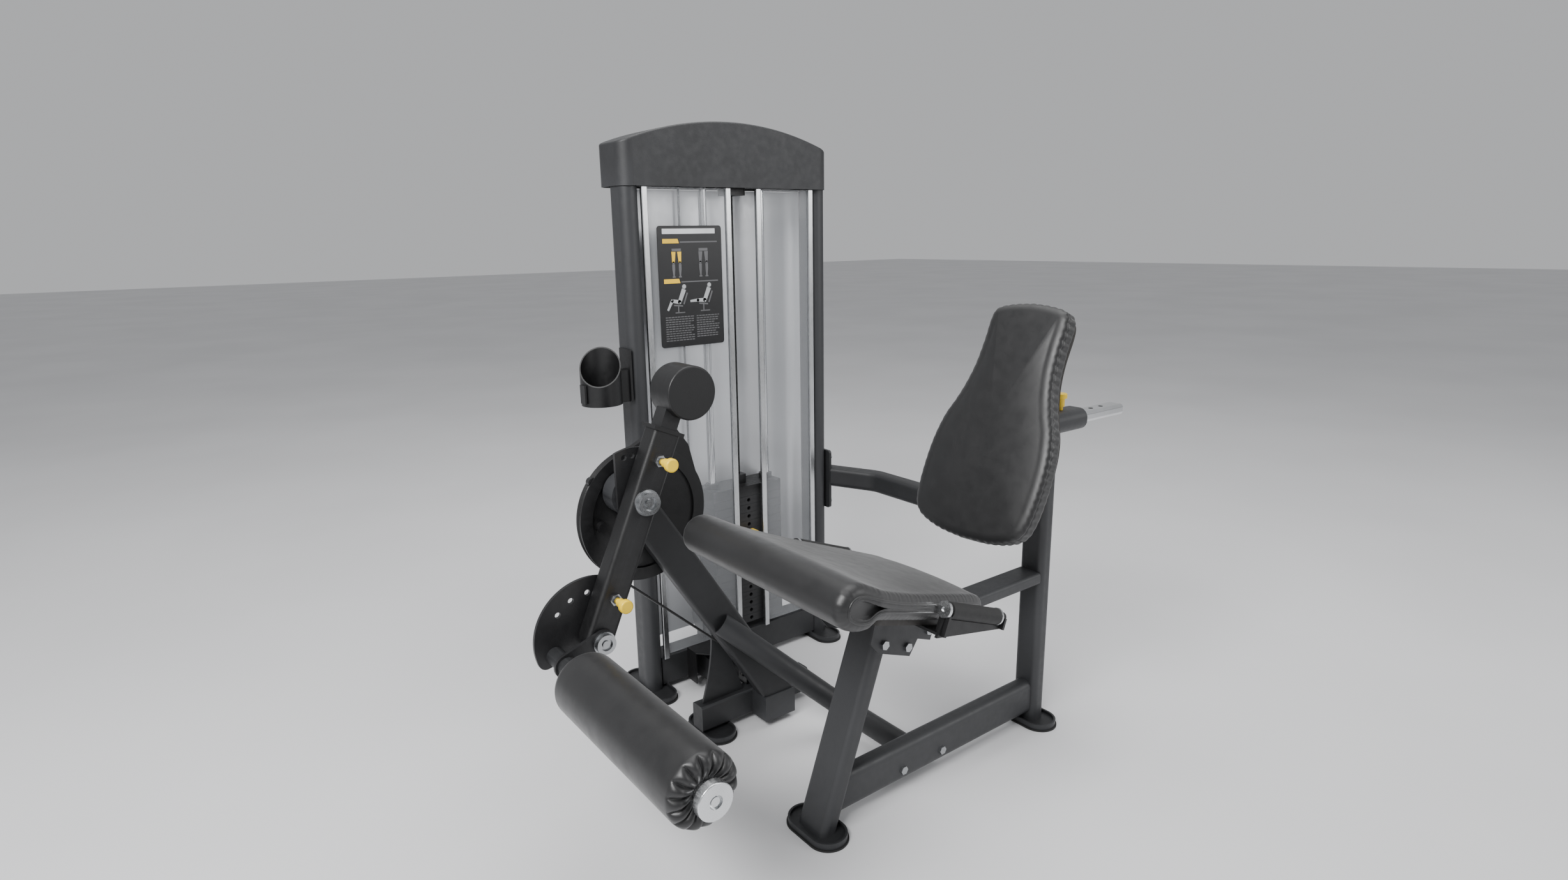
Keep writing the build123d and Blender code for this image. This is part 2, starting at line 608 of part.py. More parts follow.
with BuildPart() as base_tubes:
    with BuildSketch(front_plane(BEAM_X[0])):
        with Locations(((BEAM_Y[0] + BEAM_Y[1]) / 2, (RIM_TOP + BEAM_TOP) / 2)):
            RectangleRounded(BEAM_Y[1] - BEAM_Y[0], BEAM_TOP - RIM_TOP, 6)
    extrude(amount=BEAM_X[1] - BEAM_X[0])
    for near, far in ((SUPPORT_Y[0] - 4, BEAM_Y[0]), (BEAM_Y[1], CROSSBAR_Y[0])):
        with BuildSketch(side_plane(far)):
            with Locations((SUPPORT_FOOT_X, (RIM_TOP + BEAM_TOP) / 2)):
                Rectangle(2 * TIE_HALF, BEAM_TOP - RIM_TOP)
        extrude(amount=far - near)
    with BuildSketch(front_plane(INNER_LEFT)):
        with Locations(((CROSSBAR_Y[0] + CROSSBAR_Y[1]) / 2, (RIM_TOP + CROSSBAR_TOP) / 2)):
            Rectangle(CROSSBAR_Y[1] - CROSSBAR_Y[0], CROSSBAR_TOP - RIM_TOP)
    extrude(amount=INNER_RIGHT - INNER_LEFT)
    with BuildSketch(side_plane(156)):
        with BuildLine():
            Spline((-262, BEAM_TOP), (-243, 150), (-233, 205), (-230, 262))
            Polyline((-230, 262), (-204, 262), (-140, BEAM_TOP), (-262, BEAM_TOP))
        make_face()
    extrude(amount=6)
save(base_tubes, "base_tubes")

COVER_TOP = 112.0
COVER_T = 3.0
COVER_X = (-162.0, 18.0)
COVER_Y = (180.0, 390.0)

with BuildPart() as cable_cover:
    with BuildSketch(Plane.XY.offset(COVER_TOP - COVER_T)):
        with BuildLine():
            Polyline((COVER_X[0], 345), (COVER_X[0], COVER_Y[1]), (COVER_X[1], COVER_Y[1]),
                     (COVER_X[1], COVER_Y[0]), (-10, COVER_Y[0]))
            ThreePointArc((-10, COVER_Y[0]), (-88, 264), (COVER_X[0], 345))
        make_face()
    extrude(amount=COVER_T)
    for x, y in ((COVER_X[1] - COVER_T, COVER_Y[0]), (COVER_X[0], 345)):
        with BuildSketch(Plane.XY.offset(20)):
            with Locations((x, y)):
                Rectangle(COVER_T, COVER_Y[1] - y, align=(Align.MIN, Align.MIN))
        extrude(amount=COVER_TOP - COVER_T - 20)
save(cable_cover, "cable_cover")

# ---------------------------------------------------------------- feet
FOOT_PLACES = [(leg_front(0) + LEG_T / 2 + 4, SEAT_Y), (POST_X, SEAT_Y),
               (BEAM_X[0] + 40, (BEAM_Y[0] + BEAM_Y[1]) / 2)]
TOWER_FEET = [(TOWER_X + side * (UPRIGHT_OUT - UPRIGHT_W / 2), TOWER_Y + 1) for side in (-1, 1)]
PAD_T = 4.0


RIM_T = 5.0


def foot_layer(size, z_range, mode=Mode.ADD):
    """Oval layer under every leg and upright, grown or shrunk by size."""
    with BuildSketch(Plane.XY.offset(z_range[0])) as layer:
        with Locations(*FOOT_PLACES):
            SlotOverall(150 + size, 84 + size, rotation=90)
        with Locations(*TOWER_FEET):
            SlotOverall(208 + size, 78 + size, rotation=90)
    extrude(layer.sketch, amount=z_range[1] - z_range[0], mode=mode)


with BuildPart() as foot_plates:
    foot_layer(0, (PAD_T, RIM_TOP))
    foot_layer(-2 * RIM_T, (FOOT_T, RIM_TOP), Mode.SUBTRACT)
save(foot_plates, "foot_plates")

with BuildPart() as rubber_feet:
    foot_layer(6, (0, PAD_T))
save(rubber_feet, "rubber_feet")

# ---------------------------------------------------------------- seat
SEAT_FRONT = -32.0
SEAT_REAR = 478.0
SEAT_HALF_FRONT = 252.0
SEAT_HALF_REAR = 151.0
TAPER_FROM = 60.0

with BuildPart() as seat_pad:
    with BuildSketch(seat_side(260)):
        with BuildLine():
            Polyline((0, 0), (SEAT_REAR, 0), (SEAT_REAR, PAD_UNDER), (74, PAD_UNDER),
                     (48, -84), (8, -84))
            Spline((8, -84), (-24, -70), (SEAT_FRONT, -44), (-24, -14), (0, 0),
                   tangents=((-1, 0), (1, 0.25)))
        make_face()
    extrude(amount=520)
    with BuildSketch(seat_level(-100)):
        with BuildLine():
            Polyline((SEAT_FRONT, -SEAT_HALF_FRONT), (TAPER_FROM, -SEAT_HALF_FRONT),
                     (SEAT_REAR, -SEAT_HALF_REAR), (SEAT_REAR, SEAT_HALF_REAR),
                     (TAPER_FROM, SEAT_HALF_FRONT), (SEAT_FRONT, SEAT_HALF_FRONT), close=True)
        make_face()
        fillet(vertices(), 24)
    extrude(amount=110, mode=Mode.INTERSECT)
save(seat_pad, "seat_pad")

with BuildPart() as seat_board:
    with BuildSketch(seat_level(BOARD_UNDER)):
        with BuildLine():
            Polyline((78, -224), (SEAT_REAR - 24, -134), (SEAT_REAR - 24, 134), (78, 224), close=True)
        make_face()
        fillet(vertices(), 24)
    extrude(amount=PAD_UNDER - BOARD_UNDER)
save(seat_board, "seat_board")

BRACKET_HALF = 80.0
BRACKET_T = 5.0

with BuildPart() as seat_bracket:
    with BuildSketch(seat_level(BRACKET_UNDER)):
        with Locations((335, 0)):
            Rectangle(180, 2 * BRACKET_HALF)
    extrude(amount=BOARD_UNDER - BRACKET_UNDER)
    for y in (BRACKET_HALF, BRACKET_T - BRACKET_HALF):
        with BuildSketch(seat_side(y)):
            with BuildLine():
                Polyline((245, BRACKET_UNDER), (252, -150), (280, -167), (375, -167),
                         (385, -129), (425, -129), (425, BRACKET_UNDER), close=True)
            make_face()
        extrude(amount=BRACKET_T)
save(seat_bracket, "seat_bracket")

# ---------------------------------------------------------------- handles
HANDLE_Y = 222.0
HANDLE_DROP = -29.0
HANDLE_FRONT = 266.0
HANDLE_REAR = 442.0
BAR_R = 10.0
GRIP_R = 16.0
WEB_TOP = HANDLE_DROP - GRIP_R - 1
WEB_REAR = WEB_TOP - 6

with BuildPart() as handle_bars:
    for side in (-1, 1):
        y = side * HANDLE_Y
        with BuildSketch(seat_end(HANDLE_FRONT, y, HANDLE_DROP)):
            Circle(BAR_R)
        extrude(amount=HANDLE_REAR - HANDLE_FRONT)
        for along, low in ((HANDLE_FRONT + 1, BRACKET_UNDER), (HANDLE_REAR - 6, WEB_REAR)):
            with BuildSketch(seat_end(along, y, (low + HANDLE_DROP) / 2)):
                Rectangle(24, HANDLE_DROP - low)
            extrude(amount=6)
        with BuildSketch(seat_side(y + 3)):
            with BuildLine():
                Polyline((HANDLE_FRONT - 8, -84), (HANDLE_FRONT, WEB_TOP), (HANDLE_REAR, WEB_TOP),
                         (HANDLE_REAR, WEB_REAR), close=True)
            make_face()
        extrude(amount=6)
        with BuildSketch(seat_level(BRACKET_UNDER)):
            with BuildLine():
                Polyline((HANDLE_FRONT - 8, side * BRACKET_HALF), (HANDLE_FRONT - 8, y),
                         (HANDLE_FRONT + 24, y), (400, side * BRACKET_HALF), close=True)
            make_face()
        extrude(amount=BOARD_UNDER - BRACKET_UNDER)
save(handle_bars, "handle_bars")

with BuildPart() as handle_caps:
    for side in (-1, 1):
        y = side * HANDLE_Y
        with BuildSketch(seat_end(HANDLE_FRONT - 7, y, HANDLE_DROP)):
            Circle(GRIP_R)
        extrude(amount=7)
        with BuildSketch(seat_end(HANDLE_FRONT - 7, y, HANDLE_DROP)):
            Circle(5)
        extrude(amount=3, mode=Mode.SUBTRACT)
        with BuildSketch(seat_end(HANDLE_REAR - 22, y, HANDLE_DROP)):
            Circle(GRIP_R + 1)
            Circle(BAR_R, mode=Mode.SUBTRACT)
        extrude(amount=4)
save(handle_caps, "handle_caps")

with BuildPart() as handle_grips:
    for side in (-1, 1):
        with BuildSketch(seat_end(HANDLE_FRONT + 7, side * HANDLE_Y, HANDLE_DROP)):
            Circle(GRIP_R)
            Circle(BAR_R, mode=Mode.SUBTRACT)
        extrude(amount=HANDLE_REAR - 22 - HANDLE_FRONT - 7)
save(handle_grips, "handle_grips")

# ---------------------------------------------------------------- backrest
BACK_TILT = 23.75
BACK_SIN = sin(radians(BACK_TILT))
BACK_COS = cos(radians(BACK_TILT))
BACK_ORIGIN = (138.0, SEAT_Y, 578.0)
BACK_THICK = 54.0
BACK_BOARD = 12.0
BACK_PLATE = 8.0


def back_level(depth):
    """Plane parallel to the backrest's front: local x is Y, local y runs up the backrest."""
    return Plane(origin=(BACK_ORIGIN[0] + depth * BACK_COS, SEAT_Y, BACK_ORIGIN[2] - depth * BACK_SIN),
                 x_dir=(0, 1, 0), z_dir=(BACK_COS, 0, -BACK_SIN))


# half width and height up the backrest, from the bottom edge to the top edge
BACK_HALF = ((0, -18), (60, -14), (110, -3), (143, 14), (160, 45), (167, 110), (165, 185),
             (153, 247), (135, 290), (121, 330), (110, 380), (106, 440), (106, 492), (99, 516),
             (80, 527), (42, 534), (0, 537))


def back_face(inset):
    """Backrest outline as a flat face in local coordinates, drawn in by about the inset."""
    middle = 260
    side_scale = 1 - inset / 167
    height_scale = 1 - inset / 278
    points = [(half * side_scale, middle + (up - middle) * height_scale) for half, up in BACK_HALF]
    with BuildSketch() as face:
        with BuildLine():
            Spline(*points, tangents=((1, 0), (-1, 0)))
            mirror(about=Plane.YZ)
        make_face()
    return face.sketch


with BuildPart() as back_pad:
    with BuildSketch(back_level(0)):
        add(back_face(0))
    extrude(amount=BACK_THICK)
save(back_pad, "back_pad")

with BuildPart() as back_board:
    with BuildSketch(back_level(BACK_THICK)):
        add(back_face(12))
    extrude(amount=BACK_BOARD)
save(back_board, "back_board")

BAR_W = 45.0
BAR_H = 27.0
BAR_END = 728.0
BAR_R_CORNER = 8.0
SLEEVE_X = (368.0, 555.0)
PULL_X = 495.0
HOLE_PITCH = 42.0
PLUNGER_R = 6.0
PLATE_BACK = BACK_THICK + BACK_BOARD + BACK_PLATE

with BuildPart() as slide_bar:
    with BuildSketch(front_plane(270)):
        with Locations((SEAT_Y, SLEEVE_Z)):
            RectangleRounded(BAR_W, BAR_H, BAR_R_CORNER)
    extrude(amount=BAR_END - 270)
    split(bisect_by=back_level(PLATE_BACK), keep=Keep.TOP)
    with BuildSketch(Plane.XY.offset(SLEEVE_Z + BAR_H / 2)):
        for index in range(-1, 5):
            with Locations((PULL_X + index * HOLE_PITCH, SEAT_Y)):
                Circle(PLUNGER_R + 0.3)
    extrude(amount=-14, mode=Mode.SUBTRACT)
    with BuildSketch(back_level(BACK_THICK + BACK_BOARD)):
        with Locations((0, 245)):
            RectangleRounded(104, 170, 10)
    extrude(amount=BACK_PLATE)
save(slide_bar, "slide_bar")

SLEEVE_W = 72.0
SLEEVE_WALL = 4.0
SLEEVE_TOP = SLEEVE_Z + SLEEVE_H / 2

with BuildPart() as slide_sleeve:
    with BuildSketch(front_plane(SLEEVE_X[0])):
        with Locations((SEAT_Y, SLEEVE_Z)):
            RectangleRounded(SLEEVE_W, SLEEVE_H, 23)
            RectangleRounded(SLEEVE_W - 2 * SLEEVE_WALL, SLEEVE_H - 2 * SLEEVE_WALL, 19,
                             mode=Mode.SUBTRACT)
    extrude(amount=SLEEVE_X[1] - SLEEVE_X[0])
    with BuildSketch(Plane.XY.offset(SLEEVE_TOP - 10)):
        with Locations((PULL_X, SEAT_Y)):
            Circle(PLUNGER_R + 0.3)
    extrude(amount=20, mode=Mode.SUBTRACT)
save(slide_sleeve, "slide_sleeve")

with BuildPart() as slide_bushings:
    for x in (SLEEVE_X[0], SLEEVE_X[1] - 30):
        with BuildSketch(front_plane(x)):
            with Locations((SEAT_Y, SLEEVE_Z)):
                RectangleRounded(SLEEVE_W - 2 * SLEEVE_WALL, SLEEVE_H - 2 * SLEEVE_WALL, 19)
                RectangleRounded(BAR_W + 2 * FIT, BAR_H + 2 * FIT, BAR_R_CORNER + FIT,
                                 mode=Mode.SUBTRACT)
        extrude(amount=30)
save(slide_bushings, "slide_bushings")

LINK_Z = 508.0
OUTER_X = TOWER_X + UPRIGHT_OUT

with BuildPart() as backrest_link:
    with BuildLine() as link_line:
        FilletPolyline((330, 492, LINK_Z), (POST_X, 262, LINK_Z), (POST_X, SEAT_Y + POST_D / 2, LINK_Z),
                       radius=90)
    with BuildSketch(Plane(origin=link_line.line @ 0, x_dir=(0, 0, 1), z_dir=link_line.line % 0)):
        RectangleRounded(60, 44, 14)
        RectangleRounded(60 - 2 * WALL, 44 - 2 * WALL, 14 - WALL, mode=Mode.SUBTRACT)
    sweep(path=link_line.line)
    split(bisect_by=Plane(origin=(OUTER_X + 4, 0, 0), z_dir=(1, 0, 0)), keep=Keep.TOP)
    with BuildSketch(front_plane(OUTER_X)):
        with Locations((TOWER_Y - 6, 501)):
            RectangleRounded(86, 178, 8)
    extrude(amount=8)
save(backrest_link, "backrest_link")

CUP_X = -357.0
CUP_Y = 414.0
CUP_R = 50.0
CUP_Z = (819.0, 956.0)
CUP_FRONT = 868.0          # rim height on the low side, nearest the sitter
CUP_WALL = 3.0
CUP_EDGE = TOWER_X - UPRIGHT_OUT

with BuildPart() as bottle_holder:
    with BuildSketch(Plane.XY.offset(CUP_Z[0])):
        with Locations((CUP_X, CUP_Y)):
            Circle(CUP_R)
    extrude(amount=CUP_Z[1] - CUP_Z[0])
    with BuildSketch(Plane.XY.offset(CUP_Z[0] + 3)):
        with Locations((CUP_X, CUP_Y)):
            Circle(CUP_R - CUP_WALL)
    extrude(amount=CUP_Z[1] - CUP_Z[0] - 3, mode=Mode.SUBTRACT)
    split(bisect_by=Plane(origin=(CUP_X - 30, CUP_Y - 40, CUP_FRONT), z_dir=(0.45, 0.75, -1)),
          keep=Keep.TOP)
    with BuildSketch(Plane.XY.offset(CUP_Z[0])):
        with Locations((CUP_X + CUP_R - 2, CUP_Y)):
            Rectangle(CUP_EDGE - 6 - CUP_X - CUP_R + 2, 30, align=(Align.MIN, Align.CENTER))
    extrude(amount=80)
    with BuildSketch(Plane.XY.offset(CUP_Z[0])):
        with Locations((CUP_EDGE - 6, CUP_Y + 6)):
            Rectangle(6, 54, align=(Align.MIN, Align.CENTER))
    extrude(amount=131)
    with BuildSketch(Plane.XY.offset(CUP_Z[0] + 8)):
        with Locations((CUP_X - CUP_R - 4, CUP_Y - 8)):
            Rectangle(5, 26, align=(Align.MIN, Align.CENTER))
    extrude(amount=46)
save(bottle_holder, "bottle_holder")

# ---------------------------------------------------------------- fasteners and collars
HEAD_R = 10.0
HEAD_H = 6.0

with BuildPart() as frame_fasteners:
    for x in (-40, 84):
        with BuildSketch(side_plane(RAIL_Y[0])):
            with Locations((x, 58)):
                RegularPolygon(HEAD_R, 6)
        extrude(amount=HEAD_H)
    for along, height in ((290, -148), (360, -148), (410, -108)):
        with BuildSketch(seat_side(-BRACKET_HALF)):
            with Locations((along, height)):
                RegularPolygon(HEAD_R, 6)
        extrude(amount=HEAD_H)
    for y in (TOWER_Y - 36, TOWER_Y + 24):
        for z in (432, 570):
            with BuildSketch(front_plane(OUTER_X + 8)):
                with Locations((y, z)):
                    RegularPolygon(HEAD_R, 6)
            extrude(amount=HEAD_H)
save(frame_fasteners, "frame_fasteners")


# ---------------------------------------------------------------- cam
def lever_plane(y, x=PIVOT_X, z=PIVOT_Z):
    """Plane across the lever: local y runs up the lever, local x is square to it."""
    return Plane(origin=(x, y, z), x_dir=(LEVER_COS, 0, -LEVER_SIN), z_dir=(0, -1, 0))


def cylinder_y(x, z, radius, y_range):
    with BuildSketch(side_plane(y_range[1]), mode=Mode.PRIVATE) as face:
        with Locations((x, z)):
            Circle(radius)
    return extrude(face.sketch, amount=y_range[1] - y_range[0], mode=Mode.PRIVATE)


START_PIN_R = 90.0
START_R = 107.0
START_HOLES = (23.5, 11.5, -0.5, -12.5)     # degrees from straight up
JOINT_PIN_R = 90.0
JOINT_HOLES = (23.5, -1.0, -25.5, -50.0)
CAM_CENTRE = (CAM_X, CABLE_PLANE_Y, CAM_Z)

with BuildPart() as cable_cam:
    with BuildSketch(Plane(origin=CAM_CENTRE, x_dir=(1, 0, 0), z_dir=(0, 0, 1))):
        with BuildLine():
            Polyline((0, -5), (CAM_R - 23, -5), (CAM_R - 23, -11), (CAM_R + 5, -11), (CAM_R + 5, -8.5),
                     (CAM_R - 3.3, -3.4), (CAM_R - 3.3, 3.4), (CAM_R + 5, 8.5), (CAM_R + 5, 11),
                     (CAM_R - 23, 11), (CAM_R - 23, 5), (0, 5), close=True)
        make_face()
    revolve(axis=Axis(CAM_CENTRE, (0, 1, 0)))
    add(cylinder_y(PIVOT_X, PIVOT_Z, 27, CAM_Y))
    add(cylinder_y(PIVOT_X, PIVOT_Z, SHAFT_R, CAM_Y), mode=Mode.SUBTRACT)
    with BuildSketch(side_plane(CAM_Y[1])):
        SlotArc(CenterArc((CAM_X, CAM_Z), 121, 125, 17), 26)
    extrude(amount=CAM_Y[1] - CAM_Y[0], mode=Mode.SUBTRACT)
    with BuildSketch(side_plane(CAM_Y[1] - 3)):
        with BuildLine():
            Polyline((-474, 752), (-381, 797), (-346, 811), (-318, 801), (-288, 759), (-266, 672))
            Line((-266, 672), (-300, 660))
            Line((-300, 660), (-474, 752))
        make_face()
        with Locations((CAM_X, CAM_Z)):
            Circle(CAM_R - 12, mode=Mode.SUBTRACT)
    extrude(amount=CAM_Y[1] - CAM_Y[0] - 6)
    add(cylinder_y(-446, 528, 15, (100, CAM_Y[0] + 6)))
    add(cylinder_y(-513, 611, 12, (112, CAM_Y[0] + 6)))
    anchor = on_cam(radians(WRAP_END - 4))
    add(cylinder_y(anchor[0], anchor[2], 10.5, (126, 140)))
save(cable_cam, "cable_cam")

with BuildPart() as pivot_shaft:
    add(cylinder_y(PIVOT_X, PIVOT_Z, SHAFT_R, (0, CAM_Y[1] + 8)))
    add(cylinder_y(PIVOT_X, PIVOT_Z, 28, (3, ARM_Y[0] - 0.5)))
    add(cylinder_y(PIVOT_X, PIVOT_Z, 24, (-9, 3)))
    add(cylinder_y(PIVOT_X, PIVOT_Z, 15, (-9, -2)), mode=Mode.SUBTRACT)
    add(cylinder_y(PIVOT_X, PIVOT_Z, 9, (-6, -2)))
save(pivot_shaft, "pivot_shaft")

with BuildPart() as rom_plate:
    with BuildSketch(side_plane(PLATE_Y[1])):
        with BuildLine():
            Line(rotated(PIVOT_X, PIVOT_Z, 36, 120), rotated(PIVOT_X, PIVOT_Z, START_R, 38))
            ThreePointArc(rotated(PIVOT_X, PIVOT_Z, START_R, 38), rotated(PIVOT_X, PIVOT_Z, START_R, 0),
                          rotated(PIVOT_X, PIVOT_Z, START_R, -22))
            Line(rotated(PIVOT_X, PIVOT_Z, START_R, -22), rotated(PIVOT_X, PIVOT_Z, 44, -118))
            ThreePointArc(rotated(PIVOT_X, PIVOT_Z, 44, -118), rotated(PIVOT_X, PIVOT_Z, 36, 181),
                          rotated(PIVOT_X, PIVOT_Z, 36, 120))
        make_face()
        with Locations((PIVOT_X, PIVOT_Z)):
            Circle(SHAFT_R, mode=Mode.SUBTRACT)
        with Locations(*[rotated(PIVOT_X, PIVOT_Z, START_PIN_R, a) for a in START_HOLES]):
            Circle(PLUNGER_R + 0.3, mode=Mode.SUBTRACT)
    extrude(amount=PLATE_Y[1] - PLATE_Y[0])
save(rom_plate, "start_position_plate")

# ---------------------------------------------------------------- lever arm
ARM_W = 64.0
ARM_TOP = 150.0
ARM_WALL = 4.0
BOLT_R = 12.0
DRUM_AT = (14.0, 244.0)      # square to the lever and up it, from the pivot
DRUM_R = 57.5
ARM_DEPTH = ARM_Y[1] - ARM_Y[0]

with BuildPart() as lever_arm:
    with BuildSketch(lever_plane(ARM_Y[1])):
        with Locations((0, (ARM_TOP - LEVER_LENGTH) / 2)):
            Rectangle(ARM_W, ARM_TOP + LEVER_LENGTH)
        with Locations((0, -LEVER_LENGTH)):
            Circle(ARM_W / 2)
    extrude(amount=ARM_DEPTH)
    fillet(lever_arm.edges().filter_by(lambda e: e.length > 400), 10)
    with BuildSketch(lever_plane(ARM_Y[1] - ARM_WALL)):
        with Locations((0, (ARM_TOP - LEVER_LENGTH + 40) / 2)):
            Rectangle(ARM_W - 2 * ARM_WALL, ARM_TOP + LEVER_LENGTH - 40)
    extrude(amount=ARM_DEPTH - 2 * ARM_WALL, mode=Mode.SUBTRACT)
    with BuildSketch(lever_plane(ARM_Y[1])):
        Circle(24)
        with Locations((0, START_PIN_R), (0, JOINT_PIN_R - LEVER_LENGTH)):
            Circle(13)
    extrude(amount=ARM_DEPTH)
    with BuildSketch(lever_plane(ARM_Y[1])):
        Circle(SHAFT_R + FIT)
        with Locations((0, -LEVER_LENGTH)):
            Circle(BOLT_R + FIT)
        with Locations((0, START_PIN_R), (0, JOINT_PIN_R - LEVER_LENGTH)):
            Circle(PLUNGER_R + FIT)
    extrude(amount=ARM_DEPTH, mode=Mode.SUBTRACT)
    with BuildSketch(lever_plane(ARM_Y[1] + 3)):
        with Locations((0, ARM_TOP + 4)):
            Rectangle(74, 8)
    extrude(amount=ARM_DEPTH + 6)
    with BuildSketch(lever_plane(54)):
        with Locations((0, ARM_TOP + 28)):
            Rectangle(40, 40)
    extrude(amount=40)
    with BuildSketch(lever_plane(100)):
        with Locations(DRUM_AT):
            Circle(DRUM_R)
    extrude(amount=120, mode=Mode.SUBTRACT)
save(lever_arm, "lever_arm")

with BuildPart() as counterweight:
    with BuildSketch(lever_plane(70)):
        with Locations(DRUM_AT):
            Circle(DRUM_R)
    extrude(amount=80)
    fillet(counterweight.edges(), 4)
save(counterweight, "counterweight")


def knob_and_plunger(plane, reach):
    """Pull pin. The plane's normal points outwards; its origin is on the outer wall."""
    with BuildPart() as piece:
        with BuildSketch(plane.offset(23)):
            Circle(9.5)
        extrude(amount=21)
        with BuildSketch(plane.offset(43)):
            Circle(14.5)
        extrude(amount=12)
        fillet(piece.edges().group_by(Axis((0, 0, 0), tuple(plane.z_dir)))[-1], 3.5)
        with BuildSketch(plane.offset(-reach)):
            Circle(PLUNGER_R)
        extrude(amount=reach + 38)
    return piece


START_PIN = on_lever(START_PIN_R)
JOINT_PIN = on_lever(JOINT_PIN_R - LEVER_LENGTH)
for node, (pin_x, pin_z) in (("start_pin", START_PIN), ("roller_pin", JOINT_PIN)):
    wall = Plane(origin=(pin_x, ARM_Y[0], pin_z), x_dir=(1, 0, 0), z_dir=(0, -1, 0))
    save(knob_and_plunger(wall, ARM_DEPTH - 0.5), node)
save(knob_and_plunger(Plane(origin=(PULL_X, SEAT_Y, SLEEVE_TOP - 14)), -1.7), "backrest_pin")

with BuildPart() as pin_collars:
    for centre in (START_PIN, JOINT_PIN):
        with BuildSketch(side_plane(ARM_Y[0])):
            with Locations(centre):
                Circle(9)
                Circle(PLUNGER_R + FIT, mode=Mode.SUBTRACT)
        extrude(amount=14)
        with BuildSketch(side_plane(ARM_Y[0])):
            with Locations(centre):
                RegularPolygon(13, 6)
                Circle(PLUNGER_R + FIT, mode=Mode.SUBTRACT)
        extrude(amount=6)
save(pin_collars, "pin_collars")

# ---------------------------------------------------------------- roller arm
SECTOR_R = 123.5
AXLE_R_ROLLER = 17.0


def around_joint(radius, angle):
    """Point (X, Z) around the lower joint, angle in degrees from +X towards up."""
    return JOINT_X + radius * cos(radians(angle)), JOINT_Z + radius * sin(radians(angle))


with BuildPart() as sector_plate:
    with BuildSketch(side_plane(PLATE_Y[1])):
        with BuildLine():
            Line(around_joint(32, -30), around_joint(SECTOR_R, 52))
            ThreePointArc(around_joint(SECTOR_R, 52), around_joint(SECTOR_R, 133),
                          around_joint(SECTOR_R, 207))
            Line(around_joint(SECTOR_R, 207), around_joint(32, 290))
            ThreePointArc(around_joint(32, 290), around_joint(32, 310), around_joint(32, 330))
        make_face()
        with Locations((JOINT_X, JOINT_Z)):
            Circle(BOLT_R, mode=Mode.SUBTRACT)
        with Locations((ROLLER_X, ROLLER_Z)):
            Circle(AXLE_R_ROLLER, mode=Mode.SUBTRACT)
        with Locations(*[rotated(JOINT_X, JOINT_Z, JOINT_PIN_R, a) for a in JOINT_HOLES]):
            Circle(PLUNGER_R + 0.3, mode=Mode.SUBTRACT)
        SlotArc(CenterArc((JOINT_X, JOINT_Z), 57, 97, 45), 14, mode=Mode.SUBTRACT)
    extrude(amount=PLATE_Y[1] - PLATE_Y[0])
    fillet(sector_plate.edges().filter_by(Axis.Y).sort_by_distance((JOINT_X, 65, JOINT_Z))[-2:], 18)
    with BuildSketch(side_plane(PLATE_Y[0] + 2)):
        SlotArc(CenterArc((JOINT_X, JOINT_Z), JOINT_PIN_R, 62, 82), 30)
    extrude(amount=2, mode=Mode.SUBTRACT)
save(sector_plate, "sector_plate")

with BuildPart() as roller_link:
    with BuildSketch(side_plane(LINK_Y[1])):
        with Locations(((JOINT_X + ROLLER_X) / 2, (JOINT_Z + ROLLER_Z) / 2)):
            SlotCenterToCenter(hypot(ROLLER_X - JOINT_X, ROLLER_Z - JOINT_Z), 52,
                               rotation=degrees(atan2(ROLLER_Z - JOINT_Z, ROLLER_X - JOINT_X)))
        with Locations((JOINT_X, JOINT_Z)):
            Circle(BOLT_R, mode=Mode.SUBTRACT)
        with Locations((ROLLER_X, ROLLER_Z)):
            Circle(AXLE_R_ROLLER, mode=Mode.SUBTRACT)
    extrude(amount=LINK_Y[1] - LINK_Y[0])
save(roller_link, "roller_link")

with BuildPart() as joint_bolt:
    add(cylinder_y(JOINT_X, JOINT_Z, BOLT_R, (LINK_Y[0] - 2, PLATE_Y[1] + 2)))
    add(cylinder_y(JOINT_X, JOINT_Z, 24, (LINK_Y[0] - 5, LINK_Y[0])))
    add(cylinder_y(JOINT_X, JOINT_Z, 21, (LINK_Y[0] - 15, LINK_Y[0] - 5)))
    add(cylinder_y(JOINT_X, JOINT_Z, 13, (LINK_Y[0] - 15, LINK_Y[0] - 10)), mode=Mode.SUBTRACT)
    add(cylinder_y(JOINT_X, JOINT_Z, 8, (LINK_Y[0] - 13, LINK_Y[0] - 10)))
    add(cylinder_y(JOINT_X, JOINT_Z, 18, (PLATE_Y[1], PLATE_Y[1] + 4)))
save(joint_bolt, "joint_bolt")

FOAM_Y = (-524.0, -74.0)
FOAM_R = 65.0

with BuildPart() as roller_axle:
    add(cylinder_y(ROLLER_X, ROLLER_Z, AXLE_R_ROLLER, (FOAM_Y[0] - 4, PLATE_Y[1] + 3)))
    add(cylinder_y(ROLLER_X, ROLLER_Z, 21, (FOAM_Y[1] + 2, LINK_Y[0])))
    add(cylinder_y(ROLLER_X, ROLLER_Z, 19, (LINK_Y[1], PLATE_Y[0])))
save(roller_axle, "roller_axle")

